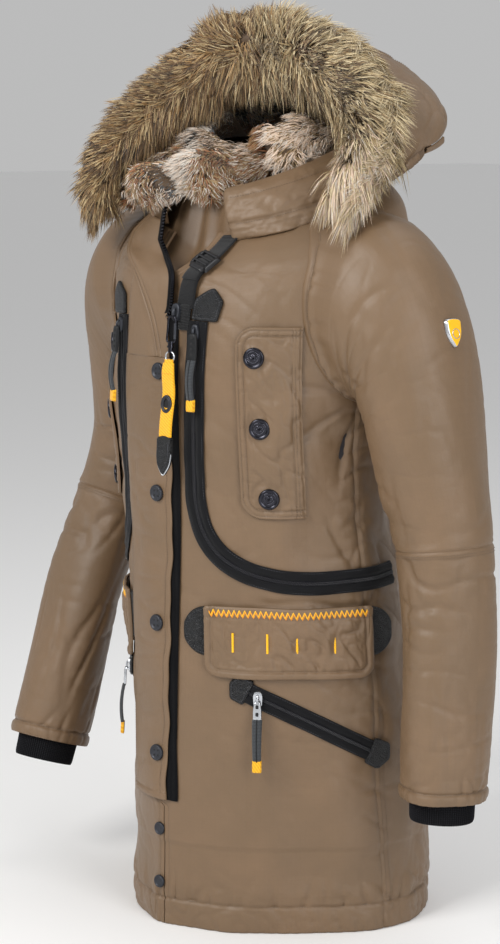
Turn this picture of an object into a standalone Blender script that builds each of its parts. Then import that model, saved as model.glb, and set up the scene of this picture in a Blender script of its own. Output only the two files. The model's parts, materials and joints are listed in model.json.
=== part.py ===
"""Hip-length winter parka: thick shells and patches laid on one body surface.

Metres, +Z up, front towards -Y, wearer's left towards +X, hem on z = 0.
A place on the body is (arc, level): arc is the length along the surface from the centre
front, positive to the wearer's left, and level is the height before the top is tilted.
A layer is the pair of heights of a slab's inner and outer faces over its surface.
"""
import math
from collections import namedtuple

import bmesh
import bpy
import numpy as np

for old in list(bpy.data.objects):
    bpy.data.objects.remove(old)

SIDES = {"left": 1, "right": -1}
STEP = 1e-3            # step of the finite differences
QUARTER = math.pi / 2
WORLD_ORIGIN = (0, 0, 0)

# base colour, roughness, metallic
MATERIALS = {
    "shell_fabric": ((0.262, 0.181, 0.115), 0.42, 0.0),
    "lining_fabric": ((0.03, 0.03, 0.035), 0.7, 0.0),
    "fur": ((0.32, 0.21, 0.12), 0.9, 0.0),
    "short_fur": ((0.30, 0.21, 0.15), 0.9, 0.0),
    "knit": ((0.024, 0.024, 0.026), 0.9, 0.0),
    "zip_tape": ((0.018, 0.018, 0.022), 0.7, 0.0),
    "leather": ((0.014, 0.015, 0.018), 0.45, 0.0),
    "webbing_yellow": ((0.80, 0.44, 0.0), 0.6, 0.0),
    "webbing_black": ((0.016, 0.016, 0.02), 0.7, 0.0),
    "puller_rubber": ((0.05, 0.055, 0.06), 0.6, 0.0),
    "black_metal": ((0.02, 0.02, 0.022), 0.25, 1.0),
    "grey_metal": ((0.32, 0.33, 0.35), 0.35, 1.0),
    "black_plastic": ((0.014, 0.014, 0.016), 0.4, 0.0),
}


# ---------------------------------------------------------------- curves and vectors
def curve_at(x, knots, values):
    """Smooth curve through the points (knots, values)."""
    x = np.asarray(x, float)
    slope = np.gradient(values, knots)
    i = np.clip(np.searchsorted(knots, x) - 1, 0, len(knots) - 2)
    span = knots[i + 1] - knots[i]
    t = np.clip((x - knots[i]) / span, 0, 1)
    return ((2 * t**3 - 3 * t**2 + 1) * values[i]
            + (t**3 - 2 * t**2 + t) * span * slope[i]
            + (3 * t**2 - 2 * t**3) * values[i + 1]
            + (t**3 - t**2) * span * slope[i + 1])


def smooth_step(x, start, end):
    t = np.clip((np.asarray(x, float) - start) / (end - start), 0, 1)
    return t * t * (3 - 2 * t)


def blend(first, last, share):
    return first * (1 - share) + last * share


def unit(vectors):
    return vectors / np.linalg.norm(vectors, axis=-1, keepdims=True)


def vector(x, y, z):
    return np.stack(np.broadcast_arrays(x, y, z), -1)


def distances(points):
    """Length along a polyline at each of its points."""
    return np.concatenate([[0], np.cumsum(np.linalg.norm(np.diff(points, axis=0), axis=1))])


def full_turn(count):
    return np.linspace(0, 2 * math.pi, count, endpoint=False)


# ---------------------------------------------------------------- body surface
# level, half width, centre y, depth in front, depth behind, roundness in front and behind
PROFILE = np.array([
    [0.000, 0.192, 0.055, 0.200, 0.150, 1.60, 2.10],
    [0.150, 0.191, 0.050, 0.193, 0.148, 1.62, 2.10],
    [0.300, 0.189, 0.040, 0.182, 0.140, 1.66, 2.10],
    [0.420, 0.184, 0.024, 0.166, 0.130, 1.78, 2.10],
    [0.500, 0.181, 0.012, 0.155, 0.120, 1.92, 2.10],
    [0.580, 0.185, 0.010, 0.156, 0.120, 2.00, 2.15],
    [0.660, 0.193, 0.016, 0.161, 0.120, 2.05, 2.20],
    [0.740, 0.199, 0.026, 0.163, 0.112, 2.05, 2.20],
    [0.790, 0.198, 0.032, 0.154, 0.102, 2.05, 2.20],
    [0.822, 0.178, 0.036, 0.139, 0.088, 2.05, 2.10],
    [0.845, 0.130, 0.038, 0.124, 0.076, 2.00, 2.00],
    [0.860, 0.092, 0.040, 0.116, 0.068, 2.00, 2.00],
])
NECK = PROFILE[-1, 0]
TILT, TILT_FROM, TILT_TO = 0.42, 0.72, 0.86    # rise per depth, and the levels it grows over

Frame = namedtuple("Frame", "origin across up out")


def section_at(level):
    """The six measures of the body's cross section."""
    return [curve_at(level, PROFILE[:, 0], PROFILE[:, k]) for k in range(1, 7)]


def torso(angle, level):
    """Point of the body: angle 0 is the centre front, 90 degrees the wearer's left side."""
    angle, level = np.broadcast_arrays(np.asarray(angle, float), np.asarray(level, float))
    half_width, centre_y, front_depth, back_depth, front_round, back_round = section_at(level)
    in_front = np.cos(angle) >= 0
    power = 2 / np.where(in_front, front_round, back_round)
    depth = np.where(in_front, -front_depth, back_depth)
    x = half_width * np.sign(np.sin(angle)) * np.abs(np.sin(angle)) ** power
    y = centre_y + depth * np.abs(np.cos(angle)) ** power
    z = level + TILT * smooth_step(level, TILT_FROM, TILT_TO) * (y - centre_y)
    return vector(x, y, z)


def body_half_width(y, z):
    """Half width of the body at (y, z)."""
    level = np.array(z, float)
    for _ in range(30):
        centre_y = curve_at(level, PROFILE[:, 0], PROFILE[:, 2])
        rise = TILT * smooth_step(level, TILT_FROM, TILT_TO) * (y - centre_y)
        level = 0.5 * level + 0.5 * np.clip(z - rise, 0, NECK)
    half_width, centre_y, front_depth, back_depth, front_round, back_round = section_at(level)
    roundness = np.where(y < centre_y, front_round, back_round)
    depth = np.where(y < centre_y, front_depth, back_depth)
    share = np.clip(np.abs(y - centre_y) / depth, 0, 1)
    return half_width * (1 - share**roundness) ** (1 / roundness)


# Lookup table of the angle by level (rows) and arc (columns)
LEVELS = np.linspace(0, NECK, 173)
ANGLES = np.linspace(-math.pi, math.pi, 1441)
ARCS = np.linspace(-0.62, 0.62, 621)
CENTRE_FRONT = len(ANGLES) // 2


def angle_row(level):
    length = distances(torso(ANGLES, level))
    return np.interp(ARCS, length - length[CENTRE_FRONT], ANGLES)


ANGLE_TABLE = np.array([angle_row(level) for level in LEVELS])


def angle_at(arc, level):
    """Angle of the point at (arc, level)."""
    arc, level = np.broadcast_arrays(np.asarray(arc, float), np.asarray(level, float))
    row = np.clip(level / (LEVELS[1] - LEVELS[0]), 0, len(LEVELS) - 1.001)
    column = np.clip((arc - ARCS[0]) / (ARCS[1] - ARCS[0]), 0, len(ARCS) - 1.001)
    i, j = row.astype(int), column.astype(int)
    low = blend(ANGLE_TABLE[i, j], ANGLE_TABLE[i, j + 1], column - j)
    high = blend(ANGLE_TABLE[i + 1, j], ANGLE_TABLE[i + 1, j + 1], column - j)
    return blend(low, high, row - i)


def outward(angle, level):
    across = torso(angle + STEP, level) - torso(angle - STEP, level)
    above, below = np.minimum(level + STEP, NECK), np.maximum(level - STEP, 0)
    return unit(np.cross(across, torso(angle, above) - torso(angle, below)))


def skin(angle, level, height):
    """Point at the given height over the surface, by angle."""
    return torso(angle, level) + outward(angle, level) * np.asarray(height, float)[..., None]


def on_body(arc, level, height):
    """Point at the given height over the surface, by arc."""
    return skin(angle_at(arc, level), level, height)


def frame_at(arc, level):
    """Frame on the surface, with its across, up and outward directions."""
    across = unit(on_body(arc + STEP, level, 0.0) - on_body(arc - STEP, level, 0.0))
    out = outward(angle_at(arc, level), level)
    up = unit(np.cross(out, across))
    return Frame(on_body(arc, level, 0.0), np.cross(up, out), up, out)


def moved(frame, up, out=0.0):
    return frame._replace(origin=frame.origin + frame.up * up + frame.out * out)


# ---------------------------------------------------------------- mesh tools
def material(name):
    found = bpy.data.materials.get(name)
    if found:
        return found
    colour, roughness, metallic = MATERIALS[name]
    made = bpy.data.materials.new(name)
    made.use_nodes = True
    inputs = made.node_tree.nodes["Principled BSDF"].inputs
    inputs["Base Color"].default_value = (*colour, 1)
    inputs["Roughness"].default_value = roughness
    inputs["Metallic"].default_value = metallic
    made.diffuse_color = (*colour, 1)
    return made


def piece(name, points, faces, slot, origin=WORLD_ORIGIN):
    """One closed object with its origin at the given point."""
    origin = np.asarray(origin, float)
    mesh = bpy.data.meshes.new(name)
    mesh.from_pydata([tuple(point) for point in points - origin], [], faces)
    editable = bmesh.new()
    editable.from_mesh(mesh)
    bmesh.ops.recalc_face_normals(editable, faces=editable.faces[:])
    editable.to_mesh(mesh)
    editable.free()
    mesh.materials.append(material(slot))
    obj = bpy.data.objects.new(name, mesh)
    obj.location = origin
    bpy.context.scene.collection.objects.link(obj)
    return obj


def shell(name, outer, inner, slot, origin=WORLD_ORIGIN, is_ring=False):
    """Wall between two grids of points. is_ring closes the second direction."""
    rows, columns = outer.shape[:2]
    size = rows * columns
    pairs = [(j, (j + 1) % columns) for j in range(columns if is_ring else columns - 1)]
    faces = []

    def rim(start, end):
        faces.append((start, end, size + end, size + start))

    def far_rim(start, end):
        faces.append((size + start, size + end, end, start))

    for row in range(0, size - columns, columns):
        for start, end in pairs:
            a, b, c, d = row + start, row + end, row + end + columns, row + start + columns
            faces += [(a, b, c, d), (size + d, size + c, size + b, size + a)]
    last_row = size - columns
    for start, end in pairs:
        far_rim(start, end)
        rim(last_row + start, last_row + end)
    if not is_ring:
        for row in range(0, last_row, columns):
            rim(row, row + columns)
            far_rim(row + columns - 1, row + 2 * columns - 1)
    points = np.concatenate([outer.reshape(-1, 3), inner.reshape(-1, 3)])
    return piece(name, points, faces, slot, origin)


def closed_tube(name, rings, slot, origin=WORLD_ORIGIN):
    """Solid through a row of rings, capped at both ends."""
    count, sides = rings.shape[:2]
    size = count * sides
    faces = [tuple(range(sides)), tuple(range(size - 1, size - sides - 1, -1))]
    for row in range(0, size - sides, sides):
        for j in range(sides):
            start, end = row + j, row + (j + 1) % sides
            faces.append((start, end, end + sides, start + sides))
    return piece(name, rings.reshape(-1, 3), faces, slot, origin)


def prism(name, outline, frame, layer, slot, origin=None):
    """Flat outline of (across, up) points, thickened along the frame's outward direction."""
    outline = np.array(outline)
    flat = frame.origin + outline[:, :1] * frame.across + outline[:, 1:] * frame.up
    rings = np.stack([flat + frame.out * height for height in layer])
    return closed_tube(name, rings, slot, frame.origin if origin is None else origin)


def rectangle(half_width, half_height):
    return [(-half_width, -half_height), (half_width, -half_height),
            (half_width, half_height), (-half_width, half_height)]


def symmetric(half_outline):
    """Outline from (half width, up) points, listed from the top down."""
    return ([(-width, up) for width, up in half_outline]
            + [(width, up) for width, up in reversed(half_outline) if width])


def stud(name, profile, frame, origin, sides):
    """Round stud from a profile of (radius, height)."""
    radius, height = np.array(profile).T[..., None, None]
    turn = full_turn(sides)[:, None]
    ring = np.cos(turn) * frame.across + np.sin(turn) * frame.up
    rings = frame.origin + radius * ring + height * frame.out
    closed_tube(name, rings, "black_metal", origin)


def patch(name, grid, layer, slot, origin=WORLD_ORIGIN):
    """Slab over a grid (arc, level) of the body surface."""
    low, high = layer
    return shell(name, on_body(*grid, high), on_body(*grid, low), slot, origin)


def line(points, count):
    """Evenly spread points of the smooth curve through the given ones."""
    points = np.asarray(points, float)
    knots = distances(points)
    lengths = np.linspace(0, knots[-1], 400)
    fine = np.stack([curve_at(lengths, knots, column) for column in points.T], -1)
    length = distances(fine)
    even = np.linspace(0, length[-1], count)
    return np.stack([np.interp(even, length, column) for column in fine.T], -1)


def ribbon(centre, width, columns=3):
    """Grid (arc, level) of a band along a curve of (arc, level) points."""
    heading = unit(np.gradient(centre, axis=0))
    sideways = np.stack([heading[:, 1], -heading[:, 0]], -1)
    offset = np.linspace(-0.5, 0.5, columns) * width
    grid = centre[:, None, :] + sideways[:, None, :] * offset[None, :, None]
    return grid[..., 0], grid[..., 1]


def corner_cut(radius, x, start, end):
    """How far corners of the given radius at both ends of (start, end) cut in at x."""
    depth = np.clip(np.maximum(start + radius - x, x - (end - radius)), 0, radius)
    return radius - np.sqrt(np.maximum(radius * radius - depth * depth, 0))


def rounded(span, levels, top_radius, low_radius, columns, rows, square_end=False):
    """Grid (arc, level) of a rounded rectangle. square_end leaves its far end unrounded."""
    start, end = span
    arc = start + (end - start) * (0.5 - 0.5 * np.cos(np.linspace(0, math.pi, columns)))
    far = end + (1.0 if square_end else 0.0)
    top = levels[1] - corner_cut(top_radius, arc, start, far)
    low = levels[0] + corner_cut(low_radius, arc, start, far)
    return arc, blend(top, low, np.linspace(0, 1, rows)[:, None])


def mirrored(side, grid):
    return side * grid[0], grid[1]


# ---------------------------------------------------------------- body panels and lining
WALL = 0.003
EASE = 0.0009          # clearance of the panels under everything sewn on them
SIDE_SEAM_ANGLE = 0.0018   # half the gap at a side seam, radians
SEAM_LEVEL = 0.838     # neck seam between the body and the collar
BODY_ROWS = np.array([0, 0.070, 0.139, 0.147, 0.22, 0.30, 0.38, 0.44, 0.50, 0.56, 0.63, 0.70,
                      0.745, 0.780, 0.803, 0.822, SEAM_LEVEL])
FRONT_BOW = 0.85       # below 1 widens the columns next to the centre front
MEETING_SHIFT = 0.012  # the fronts meet this far to the left near the hem
SHIFT_TOP, SHIFT_FADE = 0.140, 0.006
MEETING_GAP = 0.0004   # clearance of each front from the meeting line
PART_LEVEL, PART_FULL = 0.700, 0.85    # the fronts part between these levels
PART_LEFT, PART_RIGHT = 0.040, 0.036
ARMHOLE_CENTRE = (0.010, 0.715)        # y, z
ARMHOLE_RADII = (0.0755, 0.1055)
ARMHOLE_CUT_X = (0.105, 0.30)
LINING_GAP, LINING_WALL = 0.0036, 0.0018
LINING_FRONT = math.radians(14)        # the lining starts this far from the centre front


def meeting(level):
    return MEETING_SHIFT * (1 - smooth_step(level, SHIFT_TOP, SHIFT_TOP + SHIFT_FADE))


def left_edge(level):
    parting = PART_LEFT * smooth_step(level, PART_LEVEL, PART_FULL)
    return meeting(level) + MEETING_GAP + parting


def right_edge(level):
    parting = PART_RIGHT * smooth_step(level, PART_LEVEL, PART_FULL)
    return meeting(level) - MEETING_GAP - parting


def armhole_cutter(name, side):
    """Elliptical bar along X that opens an armhole."""
    turn = full_turn(30)
    ring = vector(0, ARMHOLE_CENTRE[0] + ARMHOLE_RADII[0] * np.cos(turn),
                  ARMHOLE_CENTRE[1] + ARMHOLE_RADII[1] * np.sin(turn))
    rings = np.stack([ring + [side * x, 0, 0] for x in ARMHOLE_CUT_X])
    cutter = closed_tube("cut_arm_" + name, rings, "shell_fabric")
    cutter.hide_render = True
    cutter.display_type = "WIRE"
    return cutter


def cut(obj, cutter):
    modifier = obj.modifiers.new("cut_" + cutter.name, "BOOLEAN")
    modifier.operation = "DIFFERENCE"
    modifier.solver = "EXACT"
    modifier.object = cutter


def body_panel(name, first, last, columns, bow=1.0):
    """Panel between two angles, each one value or one per row, with its hem flat on z = 0."""
    share = np.linspace(0, 1, columns) ** bow
    angle = blend(np.reshape(first, (-1, 1)), np.reshape(last, (-1, 1)), share)
    level = BODY_ROWS[:, None]
    outer, inner = skin(angle, level, -EASE), skin(angle, level, -EASE - WALL)
    for grid in (outer, inner):
        grid[0, :, 2] = 0.0
    return shell(name, outer, inner, "shell_fabric")


def body_lining():
    """One wall inside the panels, open down the front, clear of hem and neck."""
    angle = np.linspace(LINING_FRONT, 2 * math.pi - LINING_FRONT, 21)
    level = BODY_ROWS[1:-1, None]
    outer = -EASE - WALL - LINING_GAP
    return shell("body_lining", skin(angle, level, outer),
                 skin(angle, level, outer - LINING_WALL), "lining_fabric")


def build_body():
    arm_left, arm_right = [armhole_cutter(name, side) for name, side in SIDES.items()]
    seam = QUARTER - SIDE_SEAM_ANGLE
    back = body_panel("back_panel", QUARTER + SIDE_SEAM_ANGLE,
                      3 * QUARTER - SIDE_SEAM_ANGLE, 13)
    left = body_panel("front_panel_left", angle_at(left_edge(BODY_ROWS), BODY_ROWS),
                      seam, 10, FRONT_BOW)
    right = body_panel("front_panel_right", angle_at(right_edge(BODY_ROWS), BODY_ROWS),
                       -seam, 10, FRONT_BOW)
    cut(back, arm_left)
    cut(back, arm_right)
    cut(left, arm_left)
    cut(right, arm_right)
    lining = body_lining()
    cut(lining, arm_left)
    cut(lining, arm_right)


# ---------------------------------------------------------------- collar
COLLAR_FRONT = math.radians(25)        # the collar starts this far from the centre front
COLLAR_HEIGHT, COLLAR_WALL = 0.030, 0.006
COLLAR_RADII = (0.116, 0.092)          # proportions of its outward direction
COLLAR_FLARE, COLLAR_BULGE, COLLAR_SEAM_GAP = 0.014, 0.006, 0.0012


def collar_point(angle, rise, height):
    """rise is 0 at the neck seam and 1 at the top edge; height is outward."""
    radius_x, radius_y = COLLAR_RADII
    out = unit(vector(np.sin(angle) * radius_x, -np.cos(angle) * radius_y, 0))
    top = torso(angle, NECK) + out * COLLAR_FLARE
    top[..., 2] += COLLAR_HEIGHT
    point = blend(torso(angle, SEAM_LEVEL), top, rise[..., None])
    bulge = COLLAR_BULGE * np.sin(math.pi * rise)
    return point + out * (height + bulge)[..., None] + np.array([0, 0, COLLAR_SEAM_GAP])


def build_collar():
    angle = np.linspace(COLLAR_FRONT, 2 * math.pi - COLLAR_FRONT, 22)
    rise = np.linspace(0, 1, 4)[:, None]
    shell("collar", collar_point(angle, rise, 0.0), collar_point(angle, rise, -COLLAR_WALL),
          "shell_fabric")


# ---------------------------------------------------------------- hood and fur
# face opening from the wearer's left foot over the top to the right foot:
# x, y, z, radius of the trim
RUFF = np.array([
    [0.190, -0.040, 0.838, 0.024],
    [0.200, -0.006, 0.872, 0.036],
    [0.176, 0.022, 0.930, 0.044],
    [0.130, 0.022, 0.976, 0.042],
    [0.060, 0.006, 1.008, 0.037],
    [-0.010, -0.014, 1.006, 0.035],
    [-0.080, -0.028, 0.970, 0.034],
    [-0.130, -0.048, 0.932, 0.033],
    [-0.165, -0.074, 0.882, 0.031],
    [-0.176, -0.086, 0.838, 0.030],
    [-0.164, -0.086, 0.812, 0.026],
])
RUFF_SHARES = distances(RUFF[:, :3]) / distances(RUFF[:, :3])[-1]
RUFF_STATIONS = np.array([0, 0.02, 0.05, 0.11, 0.18, 0.25, 0.33, 0.41, 0.50,
                          0.59, 0.67, 0.75, 0.82, 0.89, 0.95, 0.98, 1])
RUFF_SIDES = 10
RUFF_MIDDLE = np.array([0.0, 0.02, 0.84])      # the trim's outward direction leads away from it
RUFF_FORWARD, RUFF_BACKWARD = 0.95, 0.62       # depths as shares of the radius
RUFF_END, RUFF_END_MIN = 0.04, 0.12    # rounded share of the length, least value in the root
HOOD_PIVOT = np.array([0.0, 0.142, 0.906])
HOOD_WALL = 0.003
HOOD_MIDDLE = np.array([0.0, 0.05, 0.88])      # the hood's outward direction leads away from it
HOOD_SETBACK = np.array([0.0, 0.034, 0.0])     # from the trim's centre to the hood's edge
HOOD_NECK_FROM, HOOD_NECK_SWEEP = math.radians(84), math.radians(192)
HOOD_LINING_CENTRE = np.array([0.0, 0.02, 0.90])
HOOD_LINING_SCALES = (0.945, 0.895)            # outer and inner faces, about that centre


def opening(share):
    """Centre of the trim at a share from 0 (left foot) to 1 (right foot)."""
    return np.stack([curve_at(share, RUFF_SHARES, RUFF[:, k]) for k in range(3)], -1)


def hood_point(share, reach):
    """share runs along the opening; reach is 0 at the opening and 1 at the neck."""
    share, reach = np.broadcast_arrays(share, reach)
    arch = np.sin(math.pi * share)
    angle = HOOD_NECK_FROM + share * HOOD_NECK_SWEEP
    sine, cosine = np.sin(angle), np.cos(angle)
    radial = vector(sine, -cosine, 0)
    neck_ring = vector(sine * 0.146, 0.040 - cosine * 0.102, 0.872 - 0.034 * cosine)
    # Bezier curve from the opening's edge back and down to the neck
    edge = opening(share) + HOOD_SETBACK
    neck = neck_ring + radial * 0.002
    edge_pull = edge + vector(0.02 * np.cos(math.pi * share), 0.075 + 0.015 * arch,
                              0.016 + 0.012 * arch)
    neck_pull = (neck + radial * (0.055 + 0.065 * arch)[..., None]
                 + vector(0, 0.03 * arch, 0.010 - 0.016 * arch))
    t = reach[..., None]
    return ((1 - t) ** 3 * edge + 3 * t * (1 - t) ** 2 * edge_pull
            + 3 * t * t * (1 - t) * neck_pull + t**3 * neck)


def hood_grid(share, reach, height):
    point = hood_point(share, reach)
    along_reach = (hood_point(share, np.minimum(reach + STEP, 1))
                   - hood_point(share, np.maximum(reach - STEP, 0)))
    along_share = (hood_point(np.minimum(share + STEP, 1), reach)
                   - hood_point(np.maximum(share - STEP, 0), reach))
    normal = unit(np.cross(along_share, along_reach))
    normal = normal * np.sign((normal * (point - HOOD_MIDDLE)).sum(-1, keepdims=True))
    return point + normal * height


def build_hood():
    share, reach = np.linspace(0, 1, 17), np.linspace(0, 1, 9)[:, None]
    shell("hood_shell", hood_grid(share, reach, 0.0), hood_grid(share, reach, -HOOD_WALL),
          "shell_fabric", HOOD_PIVOT)
    share, reach = np.linspace(0.05, 0.95, 15), np.linspace(0.04, 0.60, 5)[:, None]
    spokes = hood_point(share, reach) - HOOD_LINING_CENTRE
    outer, inner = [HOOD_LINING_CENTRE + spokes * scale for scale in HOOD_LINING_SCALES]
    shell("hood_fur_lining", outer, inner, "short_fur", HOOD_PIVOT)


def ruff_rings(share):
    """Rings of the trim: wider than deep, so that it clears the hood behind it."""
    centre = opening(share)
    heading = unit(opening(np.minimum(share + STEP, 1)) - opening(np.maximum(share - STEP, 0)))
    out = centre - RUFF_MIDDLE
    out = unit(out - (out * heading).sum(-1, keepdims=True) * heading)
    forward = np.cross(heading, out)
    forward = -forward * np.sign(forward[:, 1:2])
    turn = full_turn(RUFF_SIDES)[:, None]
    deep = np.sin(turn) * np.where(np.sin(turn) < 0, RUFF_BACKWARD, RUFF_FORWARD)
    radius = curve_at(share, RUFF_SHARES, RUFF[:, 3])[:, None, None]
    offset = np.cos(turn) * out[:, None, :] + deep * forward[:, None, :]
    return centre[:, None, :] + radius * offset


def build_ruff():
    rings = ruff_rings(RUFF_STATIONS)
    from_end = np.minimum(RUFF_STATIONS, 1 - RUFF_STATIONS)
    ends = np.sqrt(np.clip(from_end / RUFF_END, RUFF_END_MIN, 1))
    centres = rings.mean(axis=1, keepdims=True)
    closed_tube("fur_ruff", centres + (rings - centres) * ends[:, None, None], "fur",
                HOOD_PIVOT)


# ---------------------------------------------------------------- sleeves
# x, y, z, radius up/outward, radius front/back,
# tilt of the ring in degrees (0 = on the armhole, 90 = level)
SLEEVE_LEFT = np.array([
    [0.1860, 0.010, 0.7150, 0.1080, 0.0780, 0.0],
    [0.2120, 0.012, 0.7070, 0.1030, 0.0780, 11.2],
    [0.2328, 0.017, 0.6850, 0.0936, 0.0765, 24.8],
    [0.2460, 0.022, 0.6535, 0.0799, 0.0750, 39.7],
    [0.2540, 0.027, 0.6185, 0.0668, 0.0725, 56.9],
    [0.2605, 0.031, 0.5775, 0.0600, 0.0680, 73.0],
    [0.2685, 0.035, 0.5250, 0.0568, 0.0620, 86.0],
    [0.2800, 0.040, 0.4550, 0.0530, 0.0550, 90.0],
    [0.2860, 0.040, 0.3600, 0.0505, 0.0525, 90.0],
    [0.2870, 0.037, 0.2700, 0.0490, 0.0500, 90.0],
    [0.2860, 0.035, 0.1780, 0.0480, 0.0480, 90.0],
])
# The right sleeve has its own y throughout and its own z from the elbow down
SLEEVE_RIGHT = SLEEVE_LEFT * [-1, 1, 1, 1, 1, 1]
SLEEVE_RIGHT[:, 1] = [0.010, 0.012, 0.019, 0.027, 0.035, 0.040, 0.038, 0.018, -0.026, -0.060,
                      -0.092]
SLEEVE_RIGHT[7:, 2] = [0.450, 0.350, 0.255, 0.155]
SLEEVES = {"left": SLEEVE_LEFT, "right": SLEEVE_RIGHT}
ELBOW, WRIST = 7.0, 10.0               # stations
UPPER_STATIONS = np.array([0, 0.5, 1.1, 2, 3, 4, 5.2, ELBOW])[:, None]
LOWER_STATIONS = np.array([ELBOW + 0.012, 8, 9, WRIST])[:, None]
SLEEVE_WALL = 0.004
SLEEVE_CLEARANCE = 0.0030              # between the sleeve head and the body
HEAD_BLEND_END, HEAD_CLEAR_END = 0.85, 1.6     # stations up to which the body shapes the head
CUFF_WALL = 0.003
# distance past the sleeve's end, outer radius
CUFF = np.array([(-0.046, 0.0420), (-0.030, 0.0385), (0.000, 0.0352), (0.026, 0.0342)])
BADGE_STATION, BADGE_TURN = 3.4, math.radians(2)
BADGE_RADII, BADGE_LAYER = (0.011, 0.017), (0.0012, 0.0032)


def arm_pivot(side):
    return np.array([side * 0.166, ARMHOLE_CENTRE[0], 0.832])


def sleeve_frame(rows, station):
    """Centre, heading, up/outward axis, back axis and the two radii at a station."""
    def at(place, column):
        return curve_at(place, np.arange(len(rows), dtype=float), rows[:, column])

    def centre_at(place):
        return np.stack([at(place, column) for column in range(3)], -1)

    reach = 0.05
    after = np.minimum(station + reach, len(rows) - 1)
    before = np.maximum(station - reach, 0)
    along = unit(centre_at(after) - centre_at(before))
    side = np.sign(rows[-1, 0])
    tilt = np.radians(at(station, 5))
    tilted = vector(side * np.cos(tilt), 0, -np.sin(tilt))
    # The tabled tilt gives way to the direction of the centre line above the elbow
    heading = unit(blend(tilted, along, smooth_step(station, 4.0, ELBOW)[..., None]))
    backward = np.array([0.0, 1.0, 0.0])
    back = unit(backward - (heading * backward).sum(-1, keepdims=True) * heading)
    out = np.cross(heading, back) * side
    return centre_at(station), heading, out, back, at(station, 3), at(station, 4)


def sleeve_point(rows, station, turn, height=0.0):
    """turn is 0 at the upper or outer side and 90 degrees at the back."""
    station, turn = np.broadcast_arrays(np.asarray(station, float), np.asarray(turn, float))
    centre, _, out, back, out_radius, back_radius = sleeve_frame(rows, station)
    point = (centre + out * ((out_radius + height) * np.cos(turn))[..., None]
             + back * ((back_radius + height) * np.sin(turn))[..., None])
    # Lay the sleeve head against the body and keep it clear of it
    side = np.sign(rows[-1, 0])
    body = body_half_width(point[..., 1], point[..., 2]) + SLEEVE_CLEARANCE
    free = smooth_step(station, 0.0, HEAD_BLEND_END)
    mixed = blend(side * point[..., 0], body, 1 - free)
    clear = np.where(station < HEAD_CLEAR_END, np.maximum(mixed, body), mixed)
    point[..., 0] = side * clear
    return point


def sleeve_part(name, rows, stations, pivot):
    turn = full_turn(18)
    shell(name, sleeve_point(rows, stations, turn),
          sleeve_point(rows, stations, turn, -SLEEVE_WALL), "shell_fabric", pivot, True)


def knit_cuff(name, rows, pivot):
    centre, heading, out, back, *_ = sleeve_frame(rows, WRIST)
    turn = full_turn(14)[:, None]
    spokes = np.cos(turn) * out + np.sin(turn) * back
    axis = centre + CUFF[:, None, :1] * heading
    radius = CUFF[:, None, 1:]
    shell("knit_cuff_" + name, axis + radius * spokes, axis + (radius - CUFF_WALL) * spokes,
          "knit", pivot, True)


def build_sleeve(name, side):
    rows = SLEEVES[name]
    centre, _, _, back, _, back_radius = sleeve_frame(rows, ELBOW)
    elbow_pivot = centre - back * back_radius
    sleeve_part("sleeve_upper_" + name, rows, UPPER_STATIONS, arm_pivot(side))
    sleeve_part("sleeve_lower_" + name, rows, LOWER_STATIONS, elbow_pivot)
    knit_cuff(name, rows, elbow_pivot)


def build_badge():
    """Oval badge on the left upper sleeve."""
    step = 0.02
    origin = sleeve_point(SLEEVE_LEFT, BADGE_STATION, BADGE_TURN)
    across = unit(sleeve_point(SLEEVE_LEFT, BADGE_STATION, BADGE_TURN + step) - origin)
    up = unit(origin - sleeve_point(SLEEVE_LEFT, BADGE_STATION + step, BADGE_TURN))
    out = unit(np.cross(across, up))
    out = out * np.sign(out[0])
    frame = Frame(origin, across, unit(np.cross(out, across)), out)
    turn = full_turn(20)
    oval = np.stack([BADGE_RADII[0] * np.cos(turn), BADGE_RADII[1] * np.sin(turn)], -1)
    prism("badge", oval, frame, BADGE_LAYER, "webbing_yellow", arm_pivot(1))


# ---------------------------------------------------------------- placket and main zip
ZIP_BOTTOM = 0.148
PLACKET_TOP = 0.655
PLACKET_SEWN = -0.048                  # arc of the sewn edge
PLACKET_LAYER = (0.0026, 0.0048)
PLACKET_AXIS_HEIGHT = 0.0060
# level, arc of the free edge
PLACKET_FREE = np.array([(0.148, 0.019), (0.266, 0.023), (0.381, 0.027),
                         (0.496, 0.031), (0.609, 0.033), (0.670, 0.032)])
# level, arc of the free edge, arc of the fold
LAPEL = np.array([
    (0.656, 0.010, 0.031), (0.70, -0.004, 0.024), (0.73, -0.022, 0.012),
    (0.76, -0.046, -0.003), (0.79, -0.080, -0.018), (0.82, -0.112, -0.034),
])
LAPEL_GAP, LAPEL_LIFT = 0.0012, 0.008
# studs: (arc, level), and profiles of (radius, height)
PLACKET_STUDS = ((0.017, 0.640), (0.010, 0.502), (0.007, 0.353), (0.006, 0.202))
PLACKET_STUD = [(0.0095, 0.0052), (0.0095, 0.0074), (0.0070, 0.0086)]
HEM_STUDS = ((0.000, 0.112), (0.001, 0.050))
HEM_STUD = [(0.0065, 0.0008), (0.0055, 0.0026)]
TAPE_ROWS = np.concatenate([np.linspace(ZIP_BOTTOM, PART_LEVEL, 9),
                            np.linspace(0.735, 0.832, 4)])[:, None]
TAPE_INSET, TAPE_LAYER = 0.002, (0.0004, 0.0014)
LEFT_TAPE, LEFT_TAPE_NARROWING, RIGHT_TAPE = 0.040, 0.022, 0.014
SLIDER_AT, SLIDER_LAYER = (0.0420, 0.706), (0.0056, 0.0100)
SLIDER = [(-0.005, -0.009), (0.005, -0.009), (0.006, 0.002),
          (0.004, 0.010), (-0.004, 0.010), (-0.006, 0.002)]
HOOK_OFFSET, HOOK_LAYER = (-0.0060, 0.0120), (-0.0012, 0.0018)     # offset up, out
HOOK = symmetric([(0.0045, 0.0003), (0.0055, -0.010), (0.0075, -0.026), (0.0065, -0.046)])
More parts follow.
